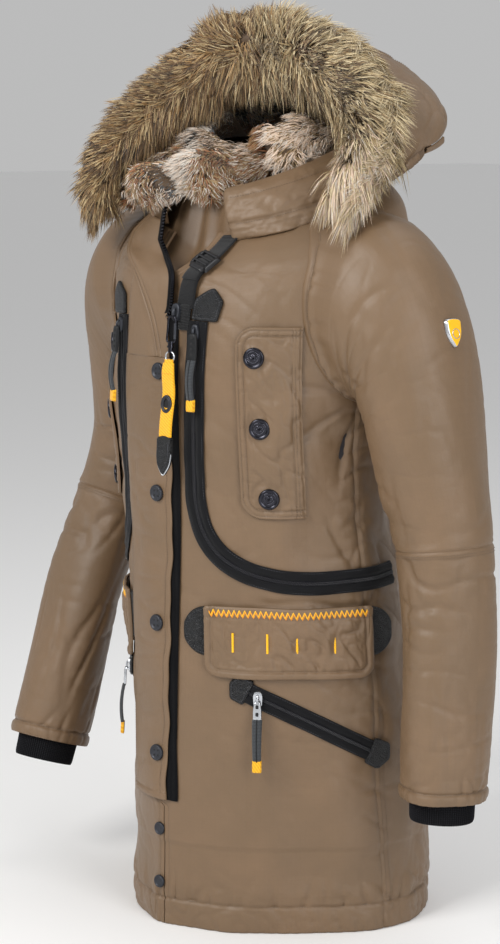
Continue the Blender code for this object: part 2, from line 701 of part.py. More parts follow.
PULL_DROP, PULL_LAYER = 0.0500, (-0.0015, 0.0030)
PULL = symmetric([(0.006, 0.0008), (0.0095, -0.004), (0.0095, -0.084), (0.0070, -0.104),
                  (0, -0.126)])
CARRY_STRAP = [(0.066, 0.832), (0.063, 0.800), (0.055, 0.750), (0.051, 0.724)]  # arc, level
CARRY_WIDTH, CARRY_LAYER = 0.024, (0.0026, 0.0042)
BUCKLE_AT, BUCKLE, BUCKLE_LAYER = (0.0610, 0.790), rectangle(0.015, 0.011), (0.0052, 0.0085)


def build_placket():
    level = np.linspace(ZIP_BOTTOM, PLACKET_TOP, 9)
    edge = on_body(PLACKET_SEWN, level, PLACKET_AXIS_HEIGHT)
    axis = np.array([edge[:, 0].mean(), edge[:, 1].min(), edge[:, 2].mean()])
    level = level[:, None]
    free = curve_at(level, *PLACKET_FREE.T)
    arc = blend(PLACKET_SEWN, free, np.linspace(0, 1, 5))
    patch("storm_placket", (arc, level), PLACKET_LAYER, "shell_fabric", axis)
    for i, place in enumerate(PLACKET_STUDS, 1):
        stud(f"placket_stud_{i}", PLACKET_STUD, frame_at(*place), axis, 12)
    for i, place in enumerate(HEM_STUDS, 1):
        stud(f"hem_stud_{i}", HEM_STUD, frame_at(*place), WORLD_ORIGIN, 10)


def build_lapel():
    """Folded-back top of the placket, lifted towards its free edge."""
    level = np.linspace(PLACKET_TOP + LAPEL_GAP, LAPEL[-1, 0], 7)[:, None]
    share = np.linspace(0, 1, 5)
    free, fold = [curve_at(level, LAPEL[:, 0], LAPEL[:, k]) for k in (1, 2)]
    low, high = PLACKET_LAYER
    lift = low + (1 - share) * LAPEL_LIFT * smooth_step(level, 0.66, 0.76)
    patch("placket_lapel", (blend(free, fold, share), level), (lift, lift + high - low),
          "shell_fabric")


def build_zip_tapes():
    share = np.linspace(0, 1, 3)
    width = LEFT_TAPE - LEFT_TAPE_NARROWING * smooth_step(TAPE_ROWS, PART_LEVEL, 0.80)
    left = left_edge(TAPE_ROWS) + TAPE_INSET + share * width
    right = right_edge(TAPE_ROWS) - TAPE_INSET - share * RIGHT_TAPE
    patch("zip_tape_left", (left, TAPE_ROWS), TAPE_LAYER, "zip_tape")
    patch("zip_tape_right", (right, TAPE_ROWS), TAPE_LAYER, "zip_tape")


def build_main_pull():
    """Slider with the hook and the yellow strap hanging from it."""
    slider = frame_at(*SLIDER_AT)
    hook = moved(slider, *HOOK_OFFSET)
    prism("main_slider", SLIDER, slider, SLIDER_LAYER, "black_metal")
    prism("snap_hook", HOOK, hook, HOOK_LAYER, "black_metal")
    prism("pull_strap", PULL, moved(hook, -PULL_DROP), PULL_LAYER, "webbing_yellow")


def build_carry_strap():
    patch("carry_strap", ribbon(line(CARRY_STRAP, 8), CARRY_WIDTH), CARRY_LAYER,
          "webbing_black")
    prism("strap_buckle", BUCKLE, frame_at(*BUCKLE_AT), BUCKLE_LAYER, "black_plastic")


# ---------------------------------------------------------------- chest, on both sides
CHEST_ZIP = [(0.068, 0.698), (0.065, 0.611), (0.062, 0.532), (0.062, 0.495), (0.070, 0.463),
             (0.090, 0.436), (0.116, 0.420), (0.149, 0.411), (0.190, 0.407), (0.240, 0.408),
             (0.300, 0.412)]           # arc, level
CHEST_ZIP_WIDTH, CHEST_ZIP_LAYER = 0.027, (0.0006, 0.0020)
# leather over the zip's upper end: arcs and levels of its top edge, level of its lower edge
CHEST_PATCH_TOP = ((0.058, 0.066, 0.086, 0.098), (0.722, 0.738, 0.738, 0.722))
CHEST_PATCH_LOW, CHEST_PATCH_LAYER = 0.7005, (0.0004, 0.0020)
CHEST_SLIDER_AT, CHEST_SLIDER_LAYER = (0.0675, 0.686), (0.0042, 0.0074)
CHEST_SLIDER = rectangle(0.005, 0.009)
CHEST_PULLER_OFFSET = (-0.002, 0.0094)         # up, out
CHEST_PULLER = symmetric([(0.005, 0.0003), (0.0065, -0.020), (0.0055, -0.060),
                          (0.0045, -0.084)])
PULLER_LAYER = (-0.0012, 0.0020)
CHEST_FLAP_ARCS, CHEST_FLAP_LEVELS = (0.116, 0.190), (0.480, 0.694)
CHEST_FLAP_RADII = (0.022, 0.024)              # top and lower corners
CHEST_FLAP_LAYER, CHEST_HINGE_HEIGHT = (0.0006, 0.0032), 0.0042
CHEST_STUDS = ((0.138, 0.660), (0.143, 0.582), (0.149, 0.503))
CHEST_STUD = [(0.0125, 0.0040), (0.0125, 0.0060), (0.0090, 0.0074)]


def build_chest_zip(name, side):
    patch("chest_zip_" + name, mirrored(side, ribbon(line(CHEST_ZIP, 24), CHEST_ZIP_WIDTH)),
          CHEST_ZIP_LAYER, "zip_tape")
    arc = np.linspace(CHEST_PATCH_TOP[0][0], CHEST_PATCH_TOP[0][-1], 5)
    top = np.interp(arc, *CHEST_PATCH_TOP)
    level = blend(top, CHEST_PATCH_LOW, np.linspace(0, 1, 3)[:, None])
    patch("chest_zip_patch_" + name, (side * arc, level), CHEST_PATCH_LAYER, "leather")
    arc, level = CHEST_SLIDER_AT
    slider = frame_at(side * arc, level)
    prism("chest_slider_" + name, CHEST_SLIDER, slider, CHEST_SLIDER_LAYER, "black_metal")
    prism("chest_puller_" + name, CHEST_PULLER, moved(slider, *CHEST_PULLER_OFFSET),
          PULLER_LAYER, "puller_rubber")


def build_chest_flap(name, side):
    """Flap and studs, with their origin halfway up the flap's outer edge."""
    hinge = on_body(side * CHEST_FLAP_ARCS[1], np.mean(CHEST_FLAP_LEVELS), CHEST_HINGE_HEIGHT)
    flap = rounded(CHEST_FLAP_ARCS, CHEST_FLAP_LEVELS, *CHEST_FLAP_RADII, 7, 6, True)
    patch("chest_flap_" + name, mirrored(side, flap), CHEST_FLAP_LAYER, "shell_fabric", hinge)
    for i, (arc, level) in enumerate(CHEST_STUDS, 1):
        stud(f"chest_stud_{name}_{i}", CHEST_STUD, frame_at(side * arc, level), hinge, 12)


# ---------------------------------------------------------------- hips, on both sides
HIP_ARCS, HIP_LEVELS = (0.068, 0.262), (0.297, 0.379)
HIP_RADII = (0.003, 0.018)                     # top and lower corners
HIP_LAYER, HIP_HINGE_HEIGHT = (0.0022, 0.0048), 0.0032
HIP_LEATHER_ARCS, HIP_LEATHER_LEVELS = (0.043, 0.285), (0.322, 0.382)
HIP_LEATHER_RADIUS, HIP_LEATHER_LAYER = 0.026, (0.0005, 0.0016)
POCKET = np.array([(0.119, 0.281), (0.258, 0.212)])    # arc, level of the zip's two ends
POCKET_HEADING = unit(POCKET[1] - POCKET[0])
POCKET_ZIP_WIDTH, POCKET_ZIP_LAYER = 0.024, (0.0004, 0.0016)
# leather at the zip's ends: from and to, along the zip's heading from that end
POCKET_LEATHERS = (("start", POCKET[0], (-0.026, -0.0008)), ("end", POCKET[1], (0.0008, 0.026)))
POCKET_LEATHER_WIDTH, POCKET_LEATHER_LAYER = 0.036, (0.0004, 0.0017)
POCKET_SLIDER_AT = POCKET[0] + POCKET_HEADING * 0.012
POCKET_SLIDER, POCKET_SLIDER_LAYER = rectangle(0.006, 0.010), (0.0028, 0.0066)
# x, y, z: the slider follows the round of the hip by turning about this point
POCKET_TURN = (0.2214, 0.2566, 0.8413)
POCKET_PULLER_OFFSET = (-0.004, 0.0090)        # up, out
POCKET_PULLER_LEAN = math.radians(4.8)         # its lower end leans outward
POCKET_PULLER = symmetric([(0.004, 0.0003), (0.0060, -0.020), (0.0055, -0.045),
                           (0.0050, -0.076)])


def build_hip_flap(name, side):
    hinge = on_body(side * np.mean(HIP_ARCS), HIP_LEVELS[1], HIP_HINGE_HEIGHT)
    flap = rounded(HIP_ARCS, HIP_LEVELS, *HIP_RADII, 14, 4)
    patch("hip_flap_" + name, mirrored(side, flap), HIP_LAYER, "shell_fabric", hinge)
    leather = rounded(HIP_LEATHER_ARCS, HIP_LEATHER_LEVELS, HIP_LEATHER_RADIUS,
                      HIP_LEATHER_RADIUS, 16, 3)
    patch("hip_leather_" + name, mirrored(side, leather), HIP_LEATHER_LAYER, "leather")


def build_pocket(name, side):
    patch("pocket_zip_" + name, mirrored(side, ribbon(line(POCKET, 9), POCKET_ZIP_WIDTH)),
          POCKET_ZIP_LAYER, "zip_tape")
    for end, place, reaches in POCKET_LEATHERS:
        middle = line([place + POCKET_HEADING * reach for reach in reaches], 4)
        patch(f"pocket_leather_{end}_{name}",
              mirrored(side, ribbon(middle, POCKET_LEATHER_WIDTH, 4)),
              POCKET_LEATHER_LAYER, "leather")
    arc, level = POCKET_SLIDER_AT
    slider = frame_at(side * arc, level)
    prism("pocket_slider_" + name, POCKET_SLIDER, slider, POCKET_SLIDER_LAYER, "grey_metal",
          np.array(POCKET_TURN) * [side, 1, 1])
    cosine, sine = math.cos(POCKET_PULLER_LEAN), math.sin(POCKET_PULLER_LEAN)
    puller = moved(slider, *POCKET_PULLER_OFFSET)._replace(
        up=slider.up * cosine - slider.out * sine,
        out=slider.out * cosine + slider.up * sine)
    prism("pocket_puller_" + name, POCKET_PULLER, puller, PULLER_LAYER, "puller_rubber")


# ---------------------------------------------------------------- the whole parka
build_body()
build_collar()
build_hood()
build_ruff()
build_placket()
build_lapel()
build_zip_tapes()
build_main_pull()
build_carry_strap()
for side_name, side_sign in SIDES.items():
    build_sleeve(side_name, side_sign)
    build_chest_zip(side_name, side_sign)
    build_chest_flap(side_name, side_sign)
    build_hip_flap(side_name, side_sign)
    build_pocket(side_name, side_sign)
build_badge()
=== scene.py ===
"""Looks of the winter parka: fine fabric, fur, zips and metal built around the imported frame. Metres, +Z up."""
import json
import math
import bpy
import bmesh
import numpy as np
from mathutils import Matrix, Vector

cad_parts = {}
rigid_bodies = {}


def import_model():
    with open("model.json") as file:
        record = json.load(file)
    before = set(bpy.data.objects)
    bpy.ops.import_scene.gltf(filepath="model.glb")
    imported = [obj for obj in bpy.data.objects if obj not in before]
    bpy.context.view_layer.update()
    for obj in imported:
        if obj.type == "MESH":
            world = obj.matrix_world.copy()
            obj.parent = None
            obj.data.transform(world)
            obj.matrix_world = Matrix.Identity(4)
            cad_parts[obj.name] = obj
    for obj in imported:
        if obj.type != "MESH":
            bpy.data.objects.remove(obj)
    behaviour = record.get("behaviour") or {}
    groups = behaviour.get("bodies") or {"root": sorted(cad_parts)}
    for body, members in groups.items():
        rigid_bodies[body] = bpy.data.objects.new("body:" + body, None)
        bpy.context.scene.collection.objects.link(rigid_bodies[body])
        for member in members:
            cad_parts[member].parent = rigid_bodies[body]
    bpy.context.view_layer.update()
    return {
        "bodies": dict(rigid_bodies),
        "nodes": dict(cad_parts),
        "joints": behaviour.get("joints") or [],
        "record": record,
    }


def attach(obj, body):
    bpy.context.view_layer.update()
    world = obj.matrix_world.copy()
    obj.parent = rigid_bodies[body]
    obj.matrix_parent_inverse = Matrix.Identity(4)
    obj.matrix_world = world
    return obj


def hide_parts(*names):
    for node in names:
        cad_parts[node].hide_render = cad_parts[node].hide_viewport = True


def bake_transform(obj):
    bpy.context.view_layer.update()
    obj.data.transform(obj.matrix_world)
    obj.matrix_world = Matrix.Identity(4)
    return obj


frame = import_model()

# ------------------------------------------------------------------ body surface, as in the part
PROFILE = np.array([
    [0.000, 0.192, 0.055, 0.200, 0.150, 1.60, 2.10],
    [0.150, 0.191, 0.050, 0.193, 0.148, 1.62, 2.10],
    [0.300, 0.189, 0.040, 0.182, 0.140, 1.66, 2.10],
    [0.420, 0.184, 0.024, 0.166, 0.130, 1.78, 2.10],
    [0.500, 0.181, 0.012, 0.155, 0.120, 1.92, 2.10],
    [0.580, 0.185, 0.010, 0.156, 0.120, 2.00, 2.15],
    [0.660, 0.193, 0.016, 0.161, 0.120, 2.05, 2.20],
    [0.740, 0.199, 0.026, 0.163, 0.112, 2.05, 2.20],
    [0.790, 0.198, 0.032, 0.154, 0.102, 2.05, 2.20],
    [0.822, 0.178, 0.036, 0.139, 0.088, 2.05, 2.10],
    [0.845, 0.130, 0.038, 0.124, 0.076, 2.00, 2.00],
    [0.860, 0.092, 0.040, 0.116, 0.068, 2.00, 2.00],
])
NECK = 0.860
TILT, TILT_FROM, TILT_TO = 0.42, 0.72, 0.86
EASE = 0.0009
HALF = math.pi / 2


def along(x, xs, ys):
    x = np.asarray(x, float)
    slope = np.gradient(ys, xs)
    i = np.clip(np.searchsorted(xs, x) - 1, 0, len(xs) - 2)
    h = xs[i + 1] - xs[i]
    t = np.clip((x - xs[i]) / h, 0, 1)
    return ((2 * t**3 - 3 * t**2 + 1) * ys[i] + (t**3 - 2 * t**2 + t) * h * slope[i]
            + (3 * t**2 - 2 * t**3) * ys[i + 1] + (t**3 - t**2) * h * slope[i + 1])


def smooth(x, a, b):
    t = np.clip((np.asarray(x, float) - a) / (b - a), 0, 1)
    return t * t * (3 - 2 * t)


def torso(phi, v):
    phi, v = np.broadcast_arrays(np.asarray(phi, float), np.asarray(v, float))
    a, yc, bf, bb, nf, nb = [along(v, PROFILE[:, 0], PROFILE[:, k]) for k in range(1, 7)]
    front = np.cos(phi) >= 0
    n = np.where(front, nf, nb)
    x = a * np.sign(np.sin(phi)) * np.abs(np.sin(phi)) ** (2 / n)
    y = yc + np.where(front, -bf, bb) * np.abs(np.cos(phi)) ** (2 / n)
    z = v + TILT * smooth(v, TILT_FROM, TILT_TO) * (y - yc)
    return np.stack([x, y, z], -1)


LEVELS = np.linspace(0, NECK, 173)
ANGLES = np.linspace(-math.pi, math.pi, 1441)
STEPS = np.linspace(-0.62, 0.62, 621)


def tables():
    by_arc, by_angle = [], []
    for level in LEVELS:
        p = torso(ANGLES, level)
        length = np.concatenate([[0], np.cumsum(np.linalg.norm(np.diff(p, axis=0), axis=1))])
        by_arc.append(np.interp(STEPS, length - length[720], ANGLES))
        by_angle.append(length - length[720])
    return np.array(by_arc), np.array(by_angle)


TABLE, ARCS = tables()


def lookup(table, row, column):
    i = np.clip(row, 0, table.shape[0] - 1.001)
    j = np.clip(column, 0, table.shape[1] - 1.001)
    a, b = i.astype(int), j.astype(int)
    p, q = i - a, j - b
    return ((1 - p) * (1 - q) * table[a, b] + (1 - p) * q * table[a, b + 1]
            + p * (1 - q) * table[a + 1, b] + p * q * table[a + 1, b + 1])


def angle(s, v):
    s, v = np.broadcast_arrays(np.asarray(s, float), np.asarray(v, float))
    return lookup(TABLE, v / (LEVELS[1] - LEVELS[0]), (s - STEPS[0]) / (STEPS[1] - STEPS[0]))


def arc(phi, v):
    """Arc length from the centre front, negative on the wearer's right."""
    phi, v = np.broadcast_arrays(np.asarray(phi, float), np.asarray(v, float))
    phi = (phi + math.pi) % (2 * math.pi) - math.pi
    return lookup(ARCS, v / (LEVELS[1] - LEVELS[0]), (phi + math.pi) / (ANGLES[1] - ANGLES[0]))


def unit(p):
    return p / np.maximum(np.linalg.norm(p, axis=-1, keepdims=True), 1e-12)


def outward(phi, v):
    e = 1e-3
    across = torso(phi + e, v) - torso(phi - e, v)
    up = torso(phi, np.minimum(v + e, NECK)) - torso(phi, np.maximum(v - e, 0))
    return unit(np.cross(across, up))


def skin(phi, v, t):
    return torso(phi, v) + outward(phi, v) * np.asarray(t, float)[..., None]


def on(s, v, t):
    phi = angle(s, v)
    return skin(phi, v, t)


def place(s, v, t=0.0):
    e = 1e-3
    s, v = np.array(s, float), np.array(v, float)
    o = on(s, v, t)
    across = unit(on(s + e, v, t) - on(s - e, v, t))
    n = outward(angle(s, v), v)
    up = unit(np.cross(n, across))
    return o, np.cross(up, n), up, n


def line(points, n):
    p = np.asarray(points, float)
    k = np.concatenate([[0], np.cumsum(np.linalg.norm(np.diff(p, axis=0), axis=1))])
    fine = np.stack([along(np.linspace(0, k[-1], 400), k, p[:, i]) for i in range(p.shape[1])], -1)
    d = np.concatenate([[0], np.cumsum(np.linalg.norm(np.diff(fine, axis=0), axis=1))])
    u = np.linspace(0, d[-1], n)
    return np.stack([np.interp(u, d, fine[:, i]) for i in range(p.shape[1])], -1)


def evenly(points, step, closed=False):
    """Points at an even step along a polyline, in any number of dimensions."""
    p = np.asarray(points, float)
    if closed:
        p = np.concatenate([p, p[:1]])
    d = np.concatenate([[0], np.cumsum(np.linalg.norm(np.diff(p, axis=0), axis=1))])
    n = max(3, int(round(d[-1] / step)) + 1)
    u = np.linspace(0, d[-1], n)
    out = np.stack([np.interp(u, d, p[:, i]) for i in range(p.shape[1])], -1)
    return out[:-1] if closed else out


class Noise:
    """Smooth sum of sines, about -1 to 1."""

    def __init__(self, seed, wavelength, dims=3, count=9):
        r = np.random.default_rng(seed)
        d = unit(r.normal(size=(count, dims)))
        self.k = d * (2 * math.pi / (wavelength * r.uniform(0.65, 1.5, count)))[:, None]
        self.shift = r.uniform(0, 2 * math.pi, count)
        self.scale = 1 / math.sqrt(count)

    def __call__(self, p):
        return np.sin(p @ self.k.T + self.shift).sum(-1) * self.scale


def valley(n, width):
    return np.exp(-((n / width) ** 2))


# ------------------------------------------------------------------ layout of the front
ZIP_BOTTOM = 0.148
SEAM_V = 0.838
ARM_C, ARM_R = (0.010, 0.715), (0.0755, 0.1055)
CHEST_ZIP = [(0.068, 0.698), (0.065, 0.611), (0.062, 0.532), (0.062, 0.495), (0.070, 0.463), (0.090, 0.436), (0.116, 0.420),
             (0.149, 0.411), (0.190, 0.407), (0.240, 0.408), (0.300, 0.412)]
POCKET = ((0.119, 0.281), (0.258, 0.212))
FLAP_S, FLAP_V = (0.116, 0.190), (0.480, 0.694)
HIP_S, HIP_V = (0.068, 0.262), (0.297, 0.379)
HEM_SEAM = 0.031


def meeting(v):
    return 0.012 * (1 - smooth(v, 0.140, 0.146))


def left_edge(v):
    return meeting(v) + 0.0004 + 0.040 * smooth(v, 0.70, 0.85)


def right_edge(v):
    return meeting(v) - 0.0004 - 0.036 * smooth(v, 0.70, 0.85)


SIDE_V = np.array([0.0, 0.069, 0.154, 0.30, 0.443, 0.556, 0.645, 0.74, 0.838])
SIDE_S = np.array([0.279, 0.277, 0.268, 0.262, 0.253, 0.254, 0.258, 0.262, 0.262])


def side_angle(v):
    w = smooth(v, 0.66, 0.79)
    return angle(along(v, SIDE_V, SIDE_S), v) * (1 - w) + HALF * w


CHEST_LINE = line(CHEST_ZIP, 50)
POCKET_LINE = line(POCKET, 16)


def away(s, v, points, reach):
    """1 on the curve (either side of the coat), fading to 0 past the reach."""
    q = np.abs(s)
    d = np.full(np.shape(q), 9.0)
    for a, b in points:
        d = np.minimum(d, (q - a) ** 2 + (v - b) ** 2)
    return np.exp(-d / (2 * reach**2))


broad_a, broad_b = Noise(3, 0.17), Noise(5, 0.075)
crease_a, crease_b, crease_c = Noise(11, 0.060), Noise(12, 0.085), Noise(13, 0.034)
patchy = Noise(17, 0.16)
hem_a, hem_b = Noise(21, 0.030), Noise(22, 0.021)


def round_(phi, v, across=1.0, up=1.0):
    return np.stack([np.sin(phi) * 0.18 * across, -np.cos(phi) * 0.18 * across, v * up + 0 * phi], -1)


def calm_of(phi, s, v):
    p = torso(phi, v)
    e = np.sqrt(((p[..., 1] - ARM_C[0]) / ARM_R[0]) ** 2 + ((p[..., 2] - ARM_C[1]) / ARM_R[1]) ** 2)
    calm = np.where(np.abs(p[..., 0]) > 0.11, smooth(e, 1.02, 1.5), 1.0)
    calm = calm * (1 - 0.72 * np.exp(-((s / 0.075) ** 4)))
    calm = calm * (1 - 0.6 * away(s, v, CHEST_LINE, 0.018)) * (1 - 0.6 * away(s, v, POCKET_LINE, 0.018))
    return calm * (1 - smooth(v, 0.77, 0.82))


def swell(phi, s, v):
    """Broad rise and fall that every sewn layer shares."""
    long_ = broad_a(round_(phi, v, 1.7, 0.75))
    mid = broad_b(round_(phi, v, 1.0, 0.7))
    return calm_of(phi, s, v) * (0.0031 * long_ + 0.0017 * mid)


def creases(phi, s, v):
    """How far the shell sinks below the broad surface: sharp valleys between padded hills."""
    calm = calm_of(phi, s, v)
    q = np.abs(s)
    side = np.abs(along(v, SIDE_V, SIDE_S) - q)
    strength = np.clip(0.55 + 0.6 * patchy(round_(phi, v)), 0.05, 1.2)
    waist = np.exp(-(((v - 0.45) / 0.13) ** 2))
    slant = round_(phi, v + 0.45 * np.abs(s), 0.55, 1.5)
    deep = 0.0034 * valley(crease_b(slant), 0.26) * strength * (0.35 + 0.65 * waist)
    fine = 0.0013 * valley(crease_a(round_(phi, v + 0.3 * s, 0.6, 1.5)), 0.34) * strength
    tiny = 0.0005 * valley(crease_c(round_(phi, v, 1.0, 1.0)), 0.30) * (0.4 + 0.6 * strength)
    total = (deep + fine + tiny) * calm
    # puckers drawn in by the hem stitching
    pull = hem_a(round_(phi, v, 1.0, 0.42) + 0.0)
    total += 0.0030 * valley(pull, 0.34) * np.exp(-((np.maximum(v - HEM_SEAM, 0) / 0.024) ** 2)) * (v > HEM_SEAM)
    total += 0.0013 * valley(hem_b(round_(phi, v + 0.25 * s, 1.0, 0.5)), 0.36) * (v <= HEM_SEAM)
    # short puckers across the side seam
    total += 0.0022 * valley(hem_a(round_(phi, v, 0.4, 1.0)), 0.34) * np.exp(-((side / 0.020) ** 2)) * (v > HEM_SEAM) * (v < 0.60)
    # creases that run from the underarm towards the chest
    ds, dv = q - 0.262, v - 0.612
    r, th = np.hypot(ds, dv), np.arctan2(dv, -ds)
    rays = valley(np.sin(th * 4.3 + 0.8 + 5.0 * r + np.sign(s)), 0.30)
    total += 0.0034 * rays * smooth(r, 0.012, 0.04) * (1 - smooth(r, 0.06, 0.125)) * (th > -1.3)
    # the fabric sinks just under the curved chest zip
    under = np.interp(q, CHEST_LINE[24:, 0], CHEST_LINE[24:, 1]) - v
    total += 0.0026 * valley(under - 0.026 - 0.004 * np.sin(q * 60), 0.0045) * smooth(q, 0.11, 0.15) * (1 - smooth(q, 0.20, 0.25))
    return total


def layer(s, v, t):
    """Point on the sewn surface at height t over the cloth."""
    s, v = np.broadcast_arrays(np.asarray(s, float), np.asarray(v, float))
    phi = angle(s, v)
    return skin(phi, v, t + swell(phi, s, v))


def layer_normal(s, v):
    return outward(angle(s, v), v)


# ------------------------------------------------------------------ materials
def srgb(r, g, b):
    c = np.array([r, g, b], float) / 255
    lin = np.where(c <= 0.04045, c / 12.92, ((c + 0.055) / 1.055) ** 2.4)
    return (float(lin[0]), float(lin[1]), float(lin[2]), 1.0)


class Shader:
    def __init__(self, name, colour, rough=0.5, metal=0.0, **more):
        self.mat = bpy.data.materials.new(name)
        self.mat.use_nodes = True
        self.mat.diffuse_color = colour
        self.tree = self.mat.node_tree
        self.main = self.tree.nodes["Principled BSDF"]
        self.main.inputs["Base Color"].default_value = colour
        self.main.inputs["Roughness"].default_value = rough
        self.main.inputs["Metallic"].default_value = metal
        for key, value in more.items():
            self.main.inputs[key.replace("_", " ")].default_value = value
        self.uv = None
        self.height = None

    def link(self, out, socket):
        self.tree.links.new(out, socket)

    def node(self, kind, **settings):
        n = self.tree.nodes.new(kind)
        for key, value in settings.items():
            setattr(n, key, value)
        return n

    def coords(self):
        if self.uv is None:
            self.uv = self.node("ShaderNodeUVMap").outputs[0]
        return self.uv

    def split(self):
        n = self.node("ShaderNodeSeparateXYZ")
        self.link(self.coords(), n.inputs[0])
        return n.outputs[0], n.outputs[1]

    def math(self, op, a, b=0.0, c=None):
        n = self.node("ShaderNodeMath", operation=op)
        for k, value in enumerate((a, b) if c is None else (a, b, c)):
            if isinstance(value, (int, float)):
                n.inputs[k].default_value = value
            else:
                self.link(value, n.inputs[k])
        return n.outputs[0]

    def sine(self, value, period, shift=0.0):
        """0 to 1 with the given period."""
        w = self.math("MULTIPLY_ADD", value, 2 * math.pi / period, shift)
        return self.math("MULTIPLY_ADD", self.math("SINE", w), 0.5, 0.5)

    def noise(self, size, detail=3.0, rough=0.5, stretch=(1, 1, 1), distort=0.0):
        m = self.node("ShaderNodeMapping")
        m.inputs["Scale"].default_value = stretch
        self.link(self.coords(), m.inputs[0])
        n = self.node("ShaderNodeTexNoise")
        n.inputs["Scale"].default_value = 1.0 / size
        n.inputs["Detail"].default_value = detail
        n.inputs["Roughness"].default_value = rough
        n.inputs["Distortion"].default_value = distort
        self.link(m.outputs[0], n.inputs["Vector"])
        return n.outputs[0]

    def pebbles(self, size, feature="F1"):
        n = self.node("ShaderNodeTexVoronoi", feature=feature)
        n.inputs["Scale"].default_value = 1.0 / size
        self.link(self.coords(), n.inputs["Vector"])
        return n.outputs["Distance"]

    def mix(self, factor, a, b):
        n = self.node("ShaderNodeMix", data_type="RGBA")
        for socket, value in ((n.inputs[0], factor), (n.inputs[6], a), (n.inputs[7], b)):
            if isinstance(value, (int, float)):
                socket.default_value = value
            elif isinstance(value, tuple):
                socket.default_value = value
            else:
                self.link(value, socket)
        return n.outputs[2]

    def ramp(self, value, a, b):
        n = self.node("ShaderNodeMapRange")
        n.inputs["From Min"].default_value = a
        n.inputs["From Max"].default_value = b
        self.link(value, n.inputs["Value"])
        return n.outputs[0]

    def colour(self, out):
        self.link(out, self.main.inputs["Base Color"])

    def rough(self, out):
        self.link(out, self.main.inputs["Roughness"])

    def bump(self, value, depth):
        n = self.node("ShaderNodeBump")
        n.inputs["Distance"].default_value = depth
        self.link(value, n.inputs["Height"])
        if self.height is not None:
            self.link(self.height, n.inputs["Normal"])
        self.height = n.outputs[0]
        self.link(self.height, self.main.inputs["Normal"])


def cloth(name, base, other, rough, weave=0.0007, crinkle=0.0007, sheen=0.25, tint=None):
    m = Shader(name, base, rough)
    m.main.inputs["Sheen Weight"].default_value = sheen
    m.main.inputs["Sheen Roughness"].default_value = 0.35
    m.main.inputs["Sheen Tint"].default_value = tint or base
    m.main.inputs["Specular IOR Level"].default_value = 0.45
    a, b = m.split()
    patch_ = m.noise(0.11, 4.0, 0.55, distort=0.4)
    fine = m.noise(0.012, 4.0, 0.6)
    shade = m.mix(m.ramp(patch_, 0.38, 0.64), base, other)
    dark = tuple(0.86 * c for c in base[:3]) + (1.0,)
    threads = m.math("MULTIPLY", m.sine(a, weave), m.sine(b, weave))
    cell = m.math("MAXIMUM", m.ramp(m.sine(a, 0.0052), 0.955, 1.0), m.ramp(m.sine(b, 0.0052), 0.955, 1.0))
    shade = m.mix(m.math("MULTIPLY", m.ramp(fine, 0.35, 0.75), 0.22), shade, dark)
    shade = m.mix(m.math("MULTIPLY", cell, 0.16), shade, dark)
    m.colour(shade)
    m.rough(m.math("MULTIPLY_ADD", patch_, 0.16, rough - 0.08))
    m.bump(m.noise(0.034, 4.0, 0.5, stretch=(1.0, 0.45, 1.0), distort=0.3), crinkle * 1.5)
    m.bump(m.noise(0.0075, 3.0, 0.5), crinkle * 0.2)
    m.bump(m.math("ADD", threads, m.math("MULTIPLY", cell, 0.5)), 0.00006)
    return m.mat


SHELL = srgb(113, 91, 68)
MATS = {}
MATS["shell"] = cloth("shell_fabric_look", SHELL, srgb(120, 96, 72), 0.42, sheen=0.10)
MATS["lining"] = cloth("lining_look", srgb(44, 44, 48), srgb(52, 50, 54), 0.5, crinkle=0.0005, sheen=0.1)


def knit():
    m = Shader("knit_look", srgb(24, 24, 26), 0.85)
    m.main.inputs["Sheen Weight"].default_value = 0.2
    m.main.inputs["Sheen Tint"].default_value = srgb(90, 90, 96)
    a, b = m.split()
    rows = m.sine(b, 0.0021)
    rib = m.sine(a, 0.0026)
    m.colour(m.mix(m.math("MULTIPLY", rib, rows), srgb(14, 14, 16), srgb(38, 38, 42)))
    m.bump(m.math("MULTIPLY", m.math("ADD", rows, rib), 0.5), 0.0005)
    m.bump(m.noise(0.0016, 2.0, 0.6), 0.0003)
    return m.mat


def tape(name, light, dark, coil=False):
    """Woven herringbone; across the band is v, along it is u."""
    m = Shader(name, dark, 0.72)
    m.main.inputs["Sheen Weight"].default_value = 0.08
    a, b = m.split()
    fold = m.math("PINGPONG", b, 0.0032)
    ribs = m.sine(m.math("ADD", a, fold), 0.0011)
    wear = m.noise(0.02, 3.0, 0.6)
    m.colour(m.mix(m.math("MULTIPLY", ribs, m.ramp(wear, 0.25, 0.75)), dark, light))
    m.bump(ribs, 0.00016)
    return m.mat


def coil():
    m = Shader("coil_look", srgb(18, 18, 21), 0.36)
    a, b = m.split()
    teeth = m.sine(m.math("ADD", a, m.math("MULTIPLY", b, 0.5)), 0.0019)
    m.colour(m.mix(teeth, srgb(9, 9, 11), srgb(40, 40, 46)))
    m.bump(teeth, 0.0008)
    return m.mat


def leather():
    m = Shader("leather_look", srgb(31, 33, 38), 0.42)
    m.main.inputs["Specular IOR Level"].default_value = 0.5
    grain = m.pebbles(0.0019)
    edge = m.pebbles(0.0019, "DISTANCE_TO_EDGE")
    wear = m.noise(0.009, 3.0, 0.6)
    m.colour(m.mix(m.math("MULTIPLY", m.ramp(edge, 0.02, 0.30), m.ramp(wear, 0.35, 0.8)), srgb(7, 8, 10), srgb(34, 37, 43)))
    m.rough(m.math("MULTIPLY_ADD", grain, 0.25, 0.32))
    m.bump(m.ramp(edge, 0.0, 0.28), 0.0007)
    m.bump(m.noise(0.004, 3.0, 0.6), 0.0004)
    return m.mat


